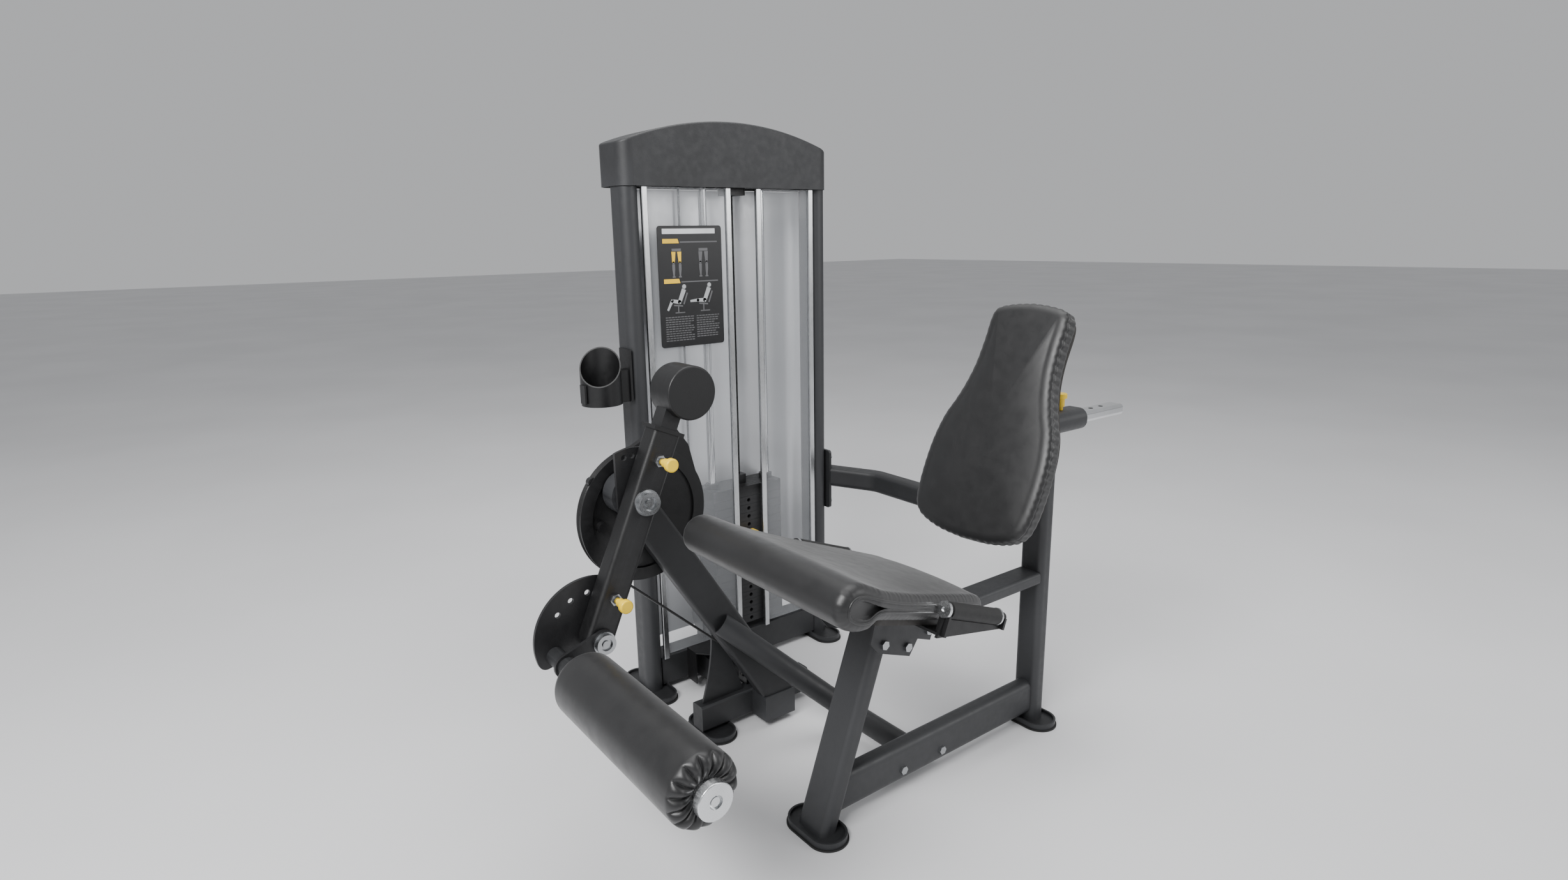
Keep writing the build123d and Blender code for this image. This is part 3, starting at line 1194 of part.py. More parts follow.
with BuildPart() as roller_core:
    add(cylinder_y(ROLLER_X, ROLLER_Z, 32, (FOAM_Y[0] - 24, FOAM_Y[0] - 8)))
    fillet(roller_core.edges().group_by(Axis.Y)[0], 2)
    add(cylinder_y(ROLLER_X, ROLLER_Z, 12, (FOAM_Y[0] - 24, FOAM_Y[0] - 17)), mode=Mode.SUBTRACT)
    add(cylinder_y(ROLLER_X, ROLLER_Z, 8, (FOAM_Y[0] - 22, FOAM_Y[0] - 16)))
    with BuildSketch(side_plane(FOAM_Y[1])):
        with Locations((ROLLER_X, ROLLER_Z)):
            Circle(22)
            Circle(AXLE_R_ROLLER + FIT, mode=Mode.SUBTRACT)
    extrude(amount=FOAM_Y[1] - FOAM_Y[0] + 8)
save(roller_core, "roller_core")

with BuildPart() as roller_foam:
    with BuildSketch(side_plane(FOAM_Y[1])):
        with Locations((ROLLER_X, ROLLER_Z)):
            Circle(FOAM_R)
            Circle(22, mode=Mode.SUBTRACT)
    extrude(amount=FOAM_Y[1] - FOAM_Y[0])
    fillet(roller_foam.edges().filter_by(lambda e: e.length > 300), 10)
save(roller_foam, "roller_foam")
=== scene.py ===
import json
from math import cos, hypot, pi, radians, sin, sqrt

import bmesh
import bpy
from mathutils import Matrix, Vector


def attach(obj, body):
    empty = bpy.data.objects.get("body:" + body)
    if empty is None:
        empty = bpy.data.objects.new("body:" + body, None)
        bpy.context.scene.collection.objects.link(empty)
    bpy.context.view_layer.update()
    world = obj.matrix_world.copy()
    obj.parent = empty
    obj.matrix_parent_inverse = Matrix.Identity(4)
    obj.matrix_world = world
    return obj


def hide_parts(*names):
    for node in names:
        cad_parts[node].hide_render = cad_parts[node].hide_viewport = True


# Looks for the leg extension machine: materials on the CAD nodes, upholstered pads, the
# pleated roller cover, the placard's pictograms, floor, lights and camera.

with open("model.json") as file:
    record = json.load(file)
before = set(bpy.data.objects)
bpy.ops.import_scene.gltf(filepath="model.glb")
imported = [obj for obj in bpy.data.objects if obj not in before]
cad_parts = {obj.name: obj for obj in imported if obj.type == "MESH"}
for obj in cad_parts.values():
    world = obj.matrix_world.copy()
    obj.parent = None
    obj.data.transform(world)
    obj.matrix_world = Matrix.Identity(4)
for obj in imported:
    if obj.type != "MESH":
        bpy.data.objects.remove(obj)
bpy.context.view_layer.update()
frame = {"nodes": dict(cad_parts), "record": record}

# ---------------------------------------------------------------- dimensions from the CAD, in metres
SHIFT = Vector((0.0005, 0.0085, 0.0))
SEAT_Y = -0.306
SEAT_TILT = radians(21.0)
SEAT_CREST = Vector((-0.377, SEAT_Y, 0.662)) + SHIFT
SEAT_REAR = 0.478
SEAT_HALF_FRONT = 0.252
SEAT_HALF_REAR = 0.151
SEAT_TAPER = 0.060

BACK_TILT = radians(23.75)
BACK_ORIGIN = Vector((0.138, SEAT_Y, 0.578)) + SHIFT
BACK_THICK = 0.054
BACK_HALF = ((0.0, -0.018), (0.060, -0.014), (0.110, -0.003), (0.143, 0.014), (0.160, 0.045),
             (0.167, 0.110), (0.165, 0.185), (0.153, 0.247), (0.135, 0.290), (0.121, 0.330),
             (0.110, 0.380), (0.106, 0.440), (0.106, 0.492), (0.099, 0.516), (0.080, 0.527),
             (0.042, 0.534), (0.0, 0.537))

ROLLER = Vector((-0.664, 0.0, 0.381)) + SHIFT
ROLLER_NEAR = -0.524 + SHIFT.y
ROLLER_FAR = -0.074 + SHIFT.y
ROLLER_R = 0.065
CORE_R = 0.022

PLACARD_MID_X = -0.099 + SHIFT.x
PLACARD_MID_Z = 1.095
PLACARD_W = 0.188
PLACARD_H = 0.302
PLACARD_FACE = 0.394 + SHIFT.y


# ---------------------------------------------------------------- node helpers
def new_material(name):
    mat = bpy.data.materials.new(name)
    mat.use_nodes = True
    tree = mat.node_tree
    tree.nodes.clear()
    out = tree.nodes.new("ShaderNodeOutputMaterial")
    shader = tree.nodes.new("ShaderNodeBsdfPrincipled")
    tree.links.new(shader.outputs["BSDF"], out.inputs["Surface"])
    coords = tree.nodes.new("ShaderNodeTexCoord")
    return mat, tree, shader, coords.outputs["Object"]


def noise(tree, coords, scale, detail=3.0, stretch=None):
    source = coords
    if stretch:
        mapping = tree.nodes.new("ShaderNodeMapping")
        mapping.inputs["Scale"].default_value = stretch
        tree.links.new(coords, mapping.inputs["Vector"])
        source = mapping.outputs["Vector"]
    tex = tree.nodes.new("ShaderNodeTexNoise")
    tex.inputs["Scale"].default_value = scale
    tex.inputs["Detail"].default_value = detail
    tree.links.new(source, tex.inputs["Vector"])
    return tex.outputs["Fac"]


def cells(tree, coords, scale):
    tex = tree.nodes.new("ShaderNodeTexVoronoi")
    tex.feature = "DISTANCE_TO_EDGE"
    tex.inputs["Scale"].default_value = scale
    tree.links.new(coords, tex.inputs["Vector"])
    return tex.outputs["Distance"]


def ramp(tree, fac, low, high, start=0.35, end=0.65):
    node = tree.nodes.new("ShaderNodeValToRGB")
    node.color_ramp.elements[0].position = start
    node.color_ramp.elements[0].color = (*low, 1.0)
    node.color_ramp.elements[1].position = end
    node.color_ramp.elements[1].color = (*high, 1.0)
    tree.links.new(fac, node.inputs["Fac"])
    return node.outputs["Color"]


def span(tree, fac, low, high):
    node = tree.nodes.new("ShaderNodeMapRange")
    node.inputs["From Min"].default_value = 0.3
    node.inputs["From Max"].default_value = 0.7
    node.inputs["To Min"].default_value = low
    node.inputs["To Max"].default_value = high
    tree.links.new(fac, node.inputs["Value"])
    return node.outputs["Result"]


def bump(tree, shader, height, strength, distance, under=None):
    node = tree.nodes.new("ShaderNodeBump")
    node.inputs["Strength"].default_value = strength
    node.inputs["Distance"].default_value = distance
    tree.links.new(height, node.inputs["Height"])
    if under:
        tree.links.new(under, node.inputs["Normal"])
    tree.links.new(node.outputs["Normal"], shader.inputs["Normal"])
    return node.outputs["Normal"]


def edge_wear(tree, colour, worn, start=0.56, end=0.66):
    """Lightens sharp edges a little, as handling does."""
    geometry = tree.nodes.new("ShaderNodeNewGeometry")
    mask = ramp(tree, geometry.outputs["Pointiness"], (0, 0, 0), (1, 1, 1), start, end)
    mix = tree.nodes.new("ShaderNodeMix")
    mix.data_type = "RGBA"
    mix.inputs["B"].default_value = (*worn, 1.0)
    tree.links.new(mask, mix.inputs["Factor"])
    tree.links.new(colour, mix.inputs["A"])
    return mix.outputs["Result"]


def shaded(colour, factor):
    return tuple(min(1.0, c * factor) for c in colour)


# ---------------------------------------------------------------- materials
def powder_coat(name, colour, rough=0.46):
    mat, tree, shader, coords = new_material(name)
    drift = noise(tree, coords, 9.0, 4.0)
    base = ramp(tree, drift, shaded(colour, 0.88), shaded(colour, 1.12))
    tree.links.new(edge_wear(tree, base, shaded(colour, 2.2)), shader.inputs["Base Color"])
    tree.links.new(span(tree, noise(tree, coords, 60.0, 5.0), rough - 0.05, rough + 0.07),
                   shader.inputs["Roughness"])
    shader.inputs["Specular IOR Level"].default_value = 0.5
    orange_peel = bump(tree, shader, noise(tree, coords, 420.0, 2.0), 0.25, 0.0006)
    bump(tree, shader, noise(tree, coords, 1500.0, 3.0), 0.22, 0.0003, orange_peel)
    return mat


def metal(name, colour, rough, brushed=None, wear=0.05):
    mat, tree, shader, coords = new_material(name)
    base = ramp(tree, noise(tree, coords, 14.0, 4.0), shaded(colour, 0.92), shaded(colour, 1.04))
    tree.links.new(base, shader.inputs["Base Color"])
    shader.inputs["Metallic"].default_value = 1.0
    lines = noise(tree, coords, 260.0, 4.0, brushed or (1.0, 1.0, 1.0))
    tree.links.new(span(tree, lines, max(0.03, rough - wear), rough + wear), shader.inputs["Roughness"])
    bump(tree, shader, lines, 0.08, 0.0002)
    return mat


def vinyl(name, colour, rough=0.42):
    mat, tree, shader, coords = new_material(name)
    drift = noise(tree, coords, 7.0, 4.0)
    tree.links.new(ramp(tree, drift, shaded(colour, 0.85), shaded(colour, 1.15)),
                   shader.inputs["Base Color"])
    tree.links.new(span(tree, noise(tree, coords, 38.0, 4.0), rough - 0.05, rough + 0.06),
                   shader.inputs["Roughness"])
    shader.inputs["Specular IOR Level"].default_value = 0.55
    shader.inputs["Sheen Weight"].default_value = 0.12
    shader.inputs["Sheen Roughness"].default_value = 0.45
    creases = bump(tree, shader, noise(tree, coords, 26.0, 5.0), 0.10, 0.004)
    bump(tree, shader, cells(tree, coords, 620.0), 0.28, 0.0005, creases)
    return mat


def moulded(name, colour, rough, grain=900.0, depth=0.12):
    mat, tree, shader, coords = new_material(name)
    base = ramp(tree, noise(tree, coords, 12.0, 3.0), shaded(colour, 0.9), shaded(colour, 1.08))
    tree.links.new(base, shader.inputs["Base Color"])
    tree.links.new(span(tree, noise(tree, coords, 90.0, 4.0), rough - 0.04, rough + 0.05),
                   shader.inputs["Roughness"])
    bump(tree, shader, noise(tree, coords, grain, 3.0), depth, 0.0004)
    return mat


def clear_sheet(name):
    mat, tree, shader, coords = new_material(name)
    tint = noise(tree, coords, 3.0, 2.0)
    tree.links.new(ramp(tree, tint, (0.66, 0.68, 0.71), (0.70, 0.72, 0.75)), shader.inputs["Base Color"])
    shader.inputs["Alpha"].default_value = 0.14
    tree.links.new(span(tree, tint, 0.05, 0.08), shader.inputs["Roughness"])
    bump(tree, shader, noise(tree, coords, 3.0, 1.0), 0.02, 0.004)
    return mat


def frosted_panel(name, colour):
    mat, tree, shader, coords = new_material(name)
    base = ramp(tree, noise(tree, coords, 4.0, 4.0), shaded(colour, 0.95), shaded(colour, 1.03))
    tree.links.new(base, shader.inputs["Base Color"])
    shader.inputs["Metallic"].default_value = 0.55
    tree.links.new(span(tree, noise(tree, coords, 70.0, 4.0), 0.33, 0.42), shader.inputs["Roughness"])
    bump(tree, shader, noise(tree, coords, 1100.0, 2.0), 0.12, 0.0003)
    return mat


def cast_plate(name, colour):
    mat, tree, shader, coords = new_material(name)
    base = ramp(tree, noise(tree, coords, 30.0, 6.0), shaded(colour, 0.8), shaded(colour, 1.25))
    tree.links.new(edge_wear(tree, base, shaded(colour, 3.0), 0.54, 0.62), shader.inputs["Base Color"])
    tree.links.new(span(tree, noise(tree, coords, 140.0, 4.0), 0.45, 0.62), shader.inputs["Roughness"])
    shader.inputs["Metallic"].default_value = 0.35
    bump(tree, shader, noise(tree, coords, 320.0, 5.0), 0.35, 0.0007)
    return mat


CHARCOAL = (0.0145, 0.0150, 0.0162)
BLACK = (0.0060, 0.0060, 0.0065)

MATERIALS = {
    "frame_paint": powder_coat("frame_powder_coat", CHARCOAL),
    "cowl_paint": powder_coat("cowl_powder_coat", (0.0185, 0.0190, 0.0205), 0.5),
    "black_paint": powder_coat("black_powder_coat", BLACK, 0.42),
    "silver": metal("satin_silver", (0.66, 0.67, 0.68), 0.27, None, 0.03),
    "chrome": metal("chrome_plate", (0.78, 0.79, 0.80), 0.10, None, 0.03),
    "zinc": metal("zinc_plate", (0.42, 0.43, 0.44), 0.30, None, 0.05),
    "strip_alloy": metal("anodised_strip", (0.60, 0.61, 0.62), 0.27, (20.0, 20.0, 0.2)),
    "acrylic": clear_sheet("clear_acrylic"),
    "shroud": frosted_panel("silver_shroud", (0.74, 0.75, 0.77)),
    "placard": moulded("placard_film", (0.008, 0.008, 0.009), 0.35),
    "weight": cast_plate("weight_plate_black", (0.011, 0.011, 0.0115)),
    "yellow": moulded("yellow_plastic", (0.86, 0.58, 0.020), 0.30, 500.0, 0.05),
    "black_plastic": moulded("black_moulding", (0.0075, 0.0075, 0.0080), 0.38),
    "rubber": moulded("black_rubber", (0.010, 0.010, 0.010), 0.62, 1300.0, 0.3),
    "cable_jacket": moulded("cable_jacket", (0.012, 0.012, 0.012), 0.28, 600.0, 0.1),
    "board": moulded("stained_board", (0.018, 0.015, 0.013), 0.6, 260.0, 0.3),
    "vinyl": vinyl("seat_vinyl", (0.0080, 0.0080, 0.0085)),
    "foam_vinyl": vinyl("roller_vinyl", (0.0075, 0.0075, 0.0080), 0.40),
    "white_ink": moulded("white_ink", (0.66, 0.67, 0.68), 0.45),
    "pale_ink": moulded("pale_ink", (0.40, 0.41, 0.42), 0.45),
    "grey_ink": moulded("grey_ink", (0.11, 0.11, 0.115), 0.45),
    "yellow_ink": moulded("yellow_ink", (0.85, 0.53, 0.02), 0.42),
}

for part in frame["record"]["subparts"]:
    node = frame["nodes"][part["node"]]
    slot_name = part["material_slot"]
    if slot_name in MATERIALS:
        node.data.materials.clear()
        node.data.materials.append(MATERIALS[slot_name])


# ---------------------------------------------------------------- mesh helpers
def mesh_object(name, verts, faces, material, smooth=True):
    mesh = bpy.data.meshes.new(name)
    mesh.from_pydata([tuple(v) for v in verts], [], faces)
    mesh.materials.append(MATERIALS[material])
    for polygon in mesh.polygons:
        polygon.use_smooth = smooth
    mesh.update()
    obj = bpy.data.objects.new(name, mesh)
    bpy.context.scene.collection.objects.link(obj)
    return obj


def outward(obj):
    """Turns every face of a closed mesh outwards."""
    work = bmesh.new()
    work.from_mesh(obj.data)
    bmesh.ops.recalc_face_normals(work, faces=work.faces)
    work.to_mesh(obj.data)
    work.free()


def ring_faces(rings, count):
    """Faces between rings of count points each, with the two ends left to cap."""
    faces = []
    for r in range(rings - 1):
        for i in range(count):
            j = (i + 1) % count
            faces.append((r * count + i, r * count + j, (r + 1) * count + j, (r + 1) * count + i))
    return faces


FAN_POINTS = 24            # a ring is halved until it is this small, so that no point joins many faces
FAN_STEP = 0.7


def close_end(verts, faces, ring):
    """Caps a ring of vertex numbers with rings of half as many points, then a small fan."""
    middle = sum((Vector(verts[k]) for k in ring), Vector()) / len(ring)
    while len(ring) % 2 == 0 and len(ring) > FAN_POINTS:
        inner = []
        for k in ring[::2]:
            inner.append(len(verts))
            verts.append(middle + (Vector(verts[k]) - middle) * FAN_STEP)
        for i in range(len(inner)):
            j = (i + 1) % len(inner)
            faces.append((ring[2 * i], ring[2 * i + 1], ring[(2 * i + 2) % len(ring)], inner[j], inner[i]))
        ring = inner
    verts.append(middle)
    for i in range(len(ring)):
        faces.append((ring[i], ring[(i + 1) % len(ring)], len(verts) - 1))


def ringed_mesh(name, rings, material):
    """Closed body from rings of points, with both ends capped."""
    count = len(rings[0])
    verts = [p for ring in rings for p in ring]
    faces = ring_faces(len(rings), count)
    for first in (0, (len(rings) - 1) * count):
        close_end(verts, faces, list(range(first, first + count)))
    obj = mesh_object(name, verts, faces, material)
    outward(obj)
    return obj


def subdivide(obj, levels):
    modifier = obj.modifiers.new("smooth", "SUBSURF")
    modifier.levels = levels
    modifier.render_levels = levels


BEAD_SIDES = 10
BEAD_REFERENCE = Vector((0.31, 0.17, 0.93))     # any direction that the bead never runs along


def closed_bead(name, points, radius, material):
    """Round bead that follows a closed line of points, for piping."""
    verts, faces = [], []
    count = len(points)
    for i, point in enumerate(points):
        tangent = (points[(i + 1) % count] - points[i - 1]).normalized()
        side = tangent.cross(BEAD_REFERENCE).normalized()
        up = tangent.cross(side)
        for s in range(BEAD_SIDES):
            angle = 2 * pi * s / BEAD_SIDES
            verts.append(point + radius * (cos(angle) * side + sin(angle) * up))
    for i in range(count):
        a = i * BEAD_SIDES
        b = (i + 1) % count * BEAD_SIDES
        for s in range(BEAD_SIDES):
            t = (s + 1) % BEAD_SIDES
            faces.append((a + s, a + t, b + t, b + s))
    return mesh_object(name, verts, faces, material)


def smooth_step(x):
    """Eased rise from 0 to 1 as x goes from 0 to 1."""
    x = max(0.0, min(1.0, x))
    return x * x * (3 - 2 * x)


def round_off(depth, radius):
    """How far a rounded edge drops at a given distance in from the edge."""
    if depth >= radius:
        return 0.0
    inside = max(0.0, radius - depth)
    return radius - sqrt(max(0.0, radius * radius - inside * inside))


def resample(points, count):
    """Closed loop of 2-D points spaced evenly."""
    loop = points + [points[0]]
    lengths = [0.0]
    for a, b in zip(loop, loop[1:]):
        lengths.append(lengths[-1] + hypot(b[0] - a[0], b[1] - a[1]))
    out = []
    k = 0
    for i in range(count):
        target = lengths[-1] * i / count
        while lengths[k + 1] < target:
            k += 1
        f = (target - lengths[k]) / max(1e-9, lengths[k + 1] - lengths[k])
        a, b = loop[k], loop[k + 1]
        out.append((a[0] + (b[0] - a[0]) * f, a[1] + (b[1] - a[1]) * f))
    return out


def catmull(points, steps=8):
    """Smooth open line through points."""
    out = []
    for i in range(len(points) - 1):
        p0 = points[max(0, i - 1)]
        p1, p2 = points[i], points[i + 1]
        p3 = points[min(len(points) - 1, i + 2)]
        for s in range(steps):
            t = s / steps
            out.append(tuple(0.5 * (2 * b + (c - a) * t + (2 * a - 5 * b + 4 * c - d) * t * t
                                    + (3 * b - a - 3 * c + d) * t ** 3)
                             for a, b, c, d in zip(p0, p1, p2, p3)))
    out.append(points[-1])
    return out


# ---------------------------------------------------------------- seat
SEAT_ACROSS = Vector((cos(SEAT_TILT), 0.0, -sin(SEAT_TILT)))
SEAT_UP = Vector((sin(SEAT_TILT), 0.0, cos(SEAT_TILT)))
SEAT_PROFILE = ((0.478, -0.050), (0.4775, -0.030), (0.470, -0.012), (0.450, -0.004), (0.400, -0.0035),
                (0.300, -0.006), (0.200, -0.008), (0.110, -0.006), (0.050, -0.002), (0.018, 0.0),
                (0.0, -0.0025), (-0.015, -0.010), (-0.027, -0.024), (-0.0315, -0.043),
                (-0.027, -0.062), (-0.014, -0.076), (0.006, -0.0835), (0.030, -0.084),
                (0.052, -0.078), (0.070, -0.064), (0.090, -0.0615), (0.200, -0.0615),
                (0.330, -0.0615), (0.465, -0.0615), (0.475, -0.058))
SEAT_STATIONS = 256
SEAT_EDGE_R = 0.021
SEAT_TOP_ABOVE = -0.050    # profile points higher than this are crowned
SEAT_CROWN = 0.0045
SEAT_SHOULDER = 0.034      # where the rounded edge begins, measured in from the side
SEAT_MARGINS = (0.034, 0.026, 0.021, 0.017, 0.0135, 0.0105, 0.0075, 0.005, 0.003, 0.0012)
SEAT_PANEL = ((0.0, 0.0215), (0.0004, 0.0240), (0.0010, 0.0275))     # margin and sink of the end panel
SEAT_FRACTIONS = (-0.9, -0.78, -0.64, -0.48, -0.32, -0.16, 0.0, 0.16, 0.32, 0.48, 0.64, 0.78, 0.9)
PINCH_MARGIN = 0.0205
PINCH_DEPTH = 0.0007
PINCH_REAR = 0.46
PIPING_R = 0.0028
PIPING_SINK = 0.0195
PIPING_MARGIN = 0.0010


def seat_point(along, y, height):
    return SEAT_CREST + along * SEAT_ACROSS + Vector((0.0, y, 0.0)) + height * SEAT_UP


def seat_half(along):
    t = max(0.0, (along - SEAT_TAPER) / (SEAT_REAR - SEAT_TAPER))
    return SEAT_HALF_FRONT + (SEAT_HALF_REAR - SEAT_HALF_FRONT) * t


def inward_normals(loop):
    """Unit normals pointing into a closed 2-D loop that runs anticlockwise."""
    normals = []
    for i in range(len(loop)):
        dx = loop[(i + 1) % len(loop)][0] - loop[i - 1][0]
        dy = loop[(i + 1) % len(loop)][1] - loop[i - 1][1]
        size = hypot(dx, dy) or 1.0
        normals.append((-dy / size, dx / size))
    return normals


def make_seat():
    profile = resample(catmull(list(SEAT_PROFILE) + [SEAT_PROFILE[0]], 10)[:-1], SEAT_STATIONS)
    normals = inward_normals(profile)

    def ring(fraction, margin, sink):
        """Loop round the cushion, at a fraction of the way across and sunk in from the skin."""
        points = []
        for i, ((d, h), (nd, nh)) in enumerate(zip(profile, normals)):
            y = fraction * (seat_half(d) - margin)
            crown = 0.0
            if h > SEAT_TOP_ABOVE:
                crown = SEAT_CROWN * abs(fraction) ** 2.4 * smooth_step((d + 0.01) / 0.1)
            depth = sink
            if margin < PINCH_MARGIN and d < PINCH_REAR:
                depth += PINCH_DEPTH * sin(i * 2.1) * sin(i * 0.37)
            points.append(seat_point(d + nd * depth, y, h + nh * depth - crown))
        return points

    edge = [(margin, round_off(margin, SEAT_EDGE_R)) for margin in SEAT_MARGINS] + list(SEAT_PANEL)
    rings = [ring(-1.0, margin, sink) for margin, sink in reversed(edge)]
    rings += [ring(fraction, SEAT_SHOULDER, 0.0) for fraction in SEAT_FRACTIONS]
    rings += [ring(1.0, margin, sink) for margin, sink in edge]
    seat = ringed_mesh("seat_cushion", rings, "vinyl")
    subdivide(seat, 1)
    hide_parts("seat_pad")
    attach(seat, "frame")
    for side, name in ((-1, "seat_piping_user_left"), (1, "seat_piping_user_right")):
        line = []
        for (d, h), (nd, nh) in zip(profile[::2], normals[::2]):
            y = side * (seat_half(d) - PIPING_MARGIN)
            line.append(seat_point(d + nd * PIPING_SINK, y, h + nh * PIPING_SINK))
        piping = closed_bead(name, line, PIPING_R, "vinyl")
        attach(piping, "frame")


make_seat()

# ---------------------------------------------------------------- backrest
BACK_UP = Vector((sin(BACK_TILT), 0.0, cos(BACK_TILT)))
BACK_IN = Vector((cos(BACK_TILT), 0.0, -sin(BACK_TILT)))
BACK_MIDDLE = 0.25
BACK_EDGE_R = 0.024
BACK_STATIONS = 480
BACK_CROWN = 0.010
BACK_BEND_STEPS = 8
BACK_SCALES = (0.06, 0.2, 0.36, 0.52, 0.66, 0.78, 0.88, 0.95)
BACK_REAR = BACK_THICK - 0.0002
BACK_PLEATS = ((0.0285, 0.0018), (0.033, 0.0026), (0.038, 0.0030), (0.043, 0.0028), (0.048, 0.0022))
PLEAT_PITCH = 6            # outline points from one edge pleat to the next


def back_point(y, up, depth):
    return BACK_ORIGIN + up * BACK_UP + Vector((0.0, y, 0.0)) + depth * BACK_IN


def make_backrest():
    right = catmull(list(BACK_HALF), 10)
    left = [(-y, up) for y, up in reversed(right)][1:-1]
    outline = resample(right + left, BACK_STATIONS)
    normals = inward_normals(outline)

    def ring(inset, depth, pleated=0.0):
        """Loop at an inset in from the outline and a depth behind the front face."""
        points = []
        for i, ((y, up), (ny, nu)) in enumerate(zip(outline, normals)):
            fold = pleated * (0.5 - 0.5 * cos(2 * pi * i / PLEAT_PITCH)) ** 2
            points.append(back_point(y + ny * (inset + fold), up + nu * (inset + fold), depth))
        return points

    def shrunk(scale, depth):
        """Loop drawn in towards the middle, for the front and rear faces."""
        start = ring(BACK_EDGE_R, depth)
        middle = back_point(0.0, BACK_MIDDLE, depth)
        return [middle + (point - middle) * scale for point in start]

    rings = [shrunk(scale, BACK_CROWN * scale ** 2.6) for scale in BACK_SCALES]
    for step in range(BACK_BEND_STEPS + 1):
        angle = pi / 2 * step / BACK_BEND_STEPS
        inset = BACK_EDGE_R * (1 - sin(angle)) + 0.0005
        depth = BACK_CROWN + (BACK_EDGE_R - BACK_CROWN) * (1 - cos(angle))
        rings.append(ring(inset, depth, 0.0016 * smooth_step((step - 3) / 4)))
    rings.append(ring(0.0035, BACK_EDGE_R + 0.0018, 0.0006))
    rings += [ring(0.0008, depth, pleated) for depth, pleated in BACK_PLEATS]
    rings.append(ring(0.0030, BACK_THICK - 0.0022, 0.0012))
    rings += [ring(inset, BACK_REAR) for inset in (0.006, 0.02)]
    rings += [shrunk(scale, BACK_REAR) for scale in (0.8, 0.3)]
    back = ringed_mesh("back_cushion", rings, "vinyl")
    subdivide(back, 1)
    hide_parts("back_pad")
    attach(back, "backrest")


make_backrest()

# ---------------------------------------------------------------- roller
PLEATS = 15
ROLLER_SIDES = PLEATS * 12
PLEAT_DEPTH = 0.010
PLEAT_SHARPNESS = 0.6
PLEAT_INWARD = 0.35        # share of a fold's depth that also draws the cover in
RIM_INSIDE = 0.045         # folds inside this radius only go along the axle
END_ROUND = 0.020
BORE = CORE_R + 0.0006
FAR_STEPS = 8
NEAR_STEPS = 9
BODY_STEPS = 12


def roller_point(radius, y, angle):
    return Vector((ROLLER.x + radius * cos(angle), y, ROLLER.z + radius * sin(angle)))


def roller_profile():
    """Radius, place along the axle and depth of fold, from the far bore to the near bore."""
    profile = [(BORE, ROLLER_FAR - 0.002, 0.0), (0.034, ROLLER_FAR - 0.0005, 0.0)]
    for s in range(FAR_STEPS + 1):
        t = s / FAR_STEPS * pi / 2
        profile.append((ROLLER_R - END_ROUND + END_ROUND * sin(t),
                        ROLLER_FAR - END_ROUND + END_ROUND * cos(t), 0.0))
    straight = ROLLER_FAR - ROLLER_NEAR - 2 * END_ROUND
    for s in range(1, BODY_STEPS):
        profile.append((ROLLER_R, ROLLER_FAR - END_ROUND - straight * s / BODY_STEPS, 0.0))
    for s in range(NEAR_STEPS + 1):
        t = s / NEAR_STEPS * pi / 2
        profile.append((ROLLER_R - END_ROUND + END_ROUND * cos(t),
                        ROLLER_NEAR + END_ROUND - END_ROUND * sin(t), smooth_step(s / 6)))
    profile += [(0.040, ROLLER_NEAR + 0.001, 1.0), (0.034, ROLLER_NEAR + 0.003, 0.8),
                (0.028, ROLLER_NEAR + 0.006, 0.5), (BORE, ROLLER_NEAR + 0.008, 0.0)]
    return profile


def make_roller():
    rings = []
    for radius, y, fold in roller_profile():
        ring = []
        for i in range(ROLLER_SIDES):
            angle = 2 * pi * i / ROLLER_SIDES
            wave = abs(sin(PLEATS * angle / 2)) ** PLEAT_SHARPNESS
            groove = PLEAT_DEPTH * fold * (1 - wave)
            drawn_in = PLEAT_INWARD * groove if radius > RIM_INSIDE else 0.0
            ring.append(roller_point(radius - drawn_in, y + groove, angle))
        rings.append(ring)
    verts = [p for ring in rings for p in ring]
    faces = ring_faces(len(rings), ROLLER_SIDES)
    last = (len(rings) - 1) * ROLLER_SIDES
    for i in range(ROLLER_SIDES):
        j = (i + 1) % ROLLER_SIDES
        faces.append((last + i, last + j, j, i))
    cover = mesh_object("roller_cover", verts, faces, "foam_vinyl")
    outward(cover)
    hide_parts("roller_foam")
    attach(cover, "roller")


make_roller()

# ---------------------------------------------------------------- placard print
INK_PROUD = 0.0004


def ink(name, colour, shapes):
    """Flat printed shapes; each is a convex outline in placard fractions, across and down."""
    verts, faces = [], []
    for shape in shapes:
        base = len(verts)
        count = len(shape)
        for proud in (INK_PROUD, -INK_PROUD):
            for across, down in shape:
                verts.append(Vector((PLACARD_MID_X + (across - 0.5) * PLACARD_W, PLACARD_FACE - proud,
                                     PLACARD_MID_Z + (0.5 - down) * PLACARD_H)))
        faces.append(tuple(base + i for i in range(count)))
        faces.append(tuple(base + count + i for i in reversed(range(count))))
        for i in range(count):
            j = (i + 1) % count
            faces.append((base + i, base + count + i, base + count + j, base + j))
    piece = mesh_object(name, verts, faces, colour, smooth=False)
    outward(piece)
    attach(piece, "frame")


def bar(left, top, right, bottom, slant=0.0):
    return [(left, bottom), (right, bottom), (right - slant, top), (left, top)]


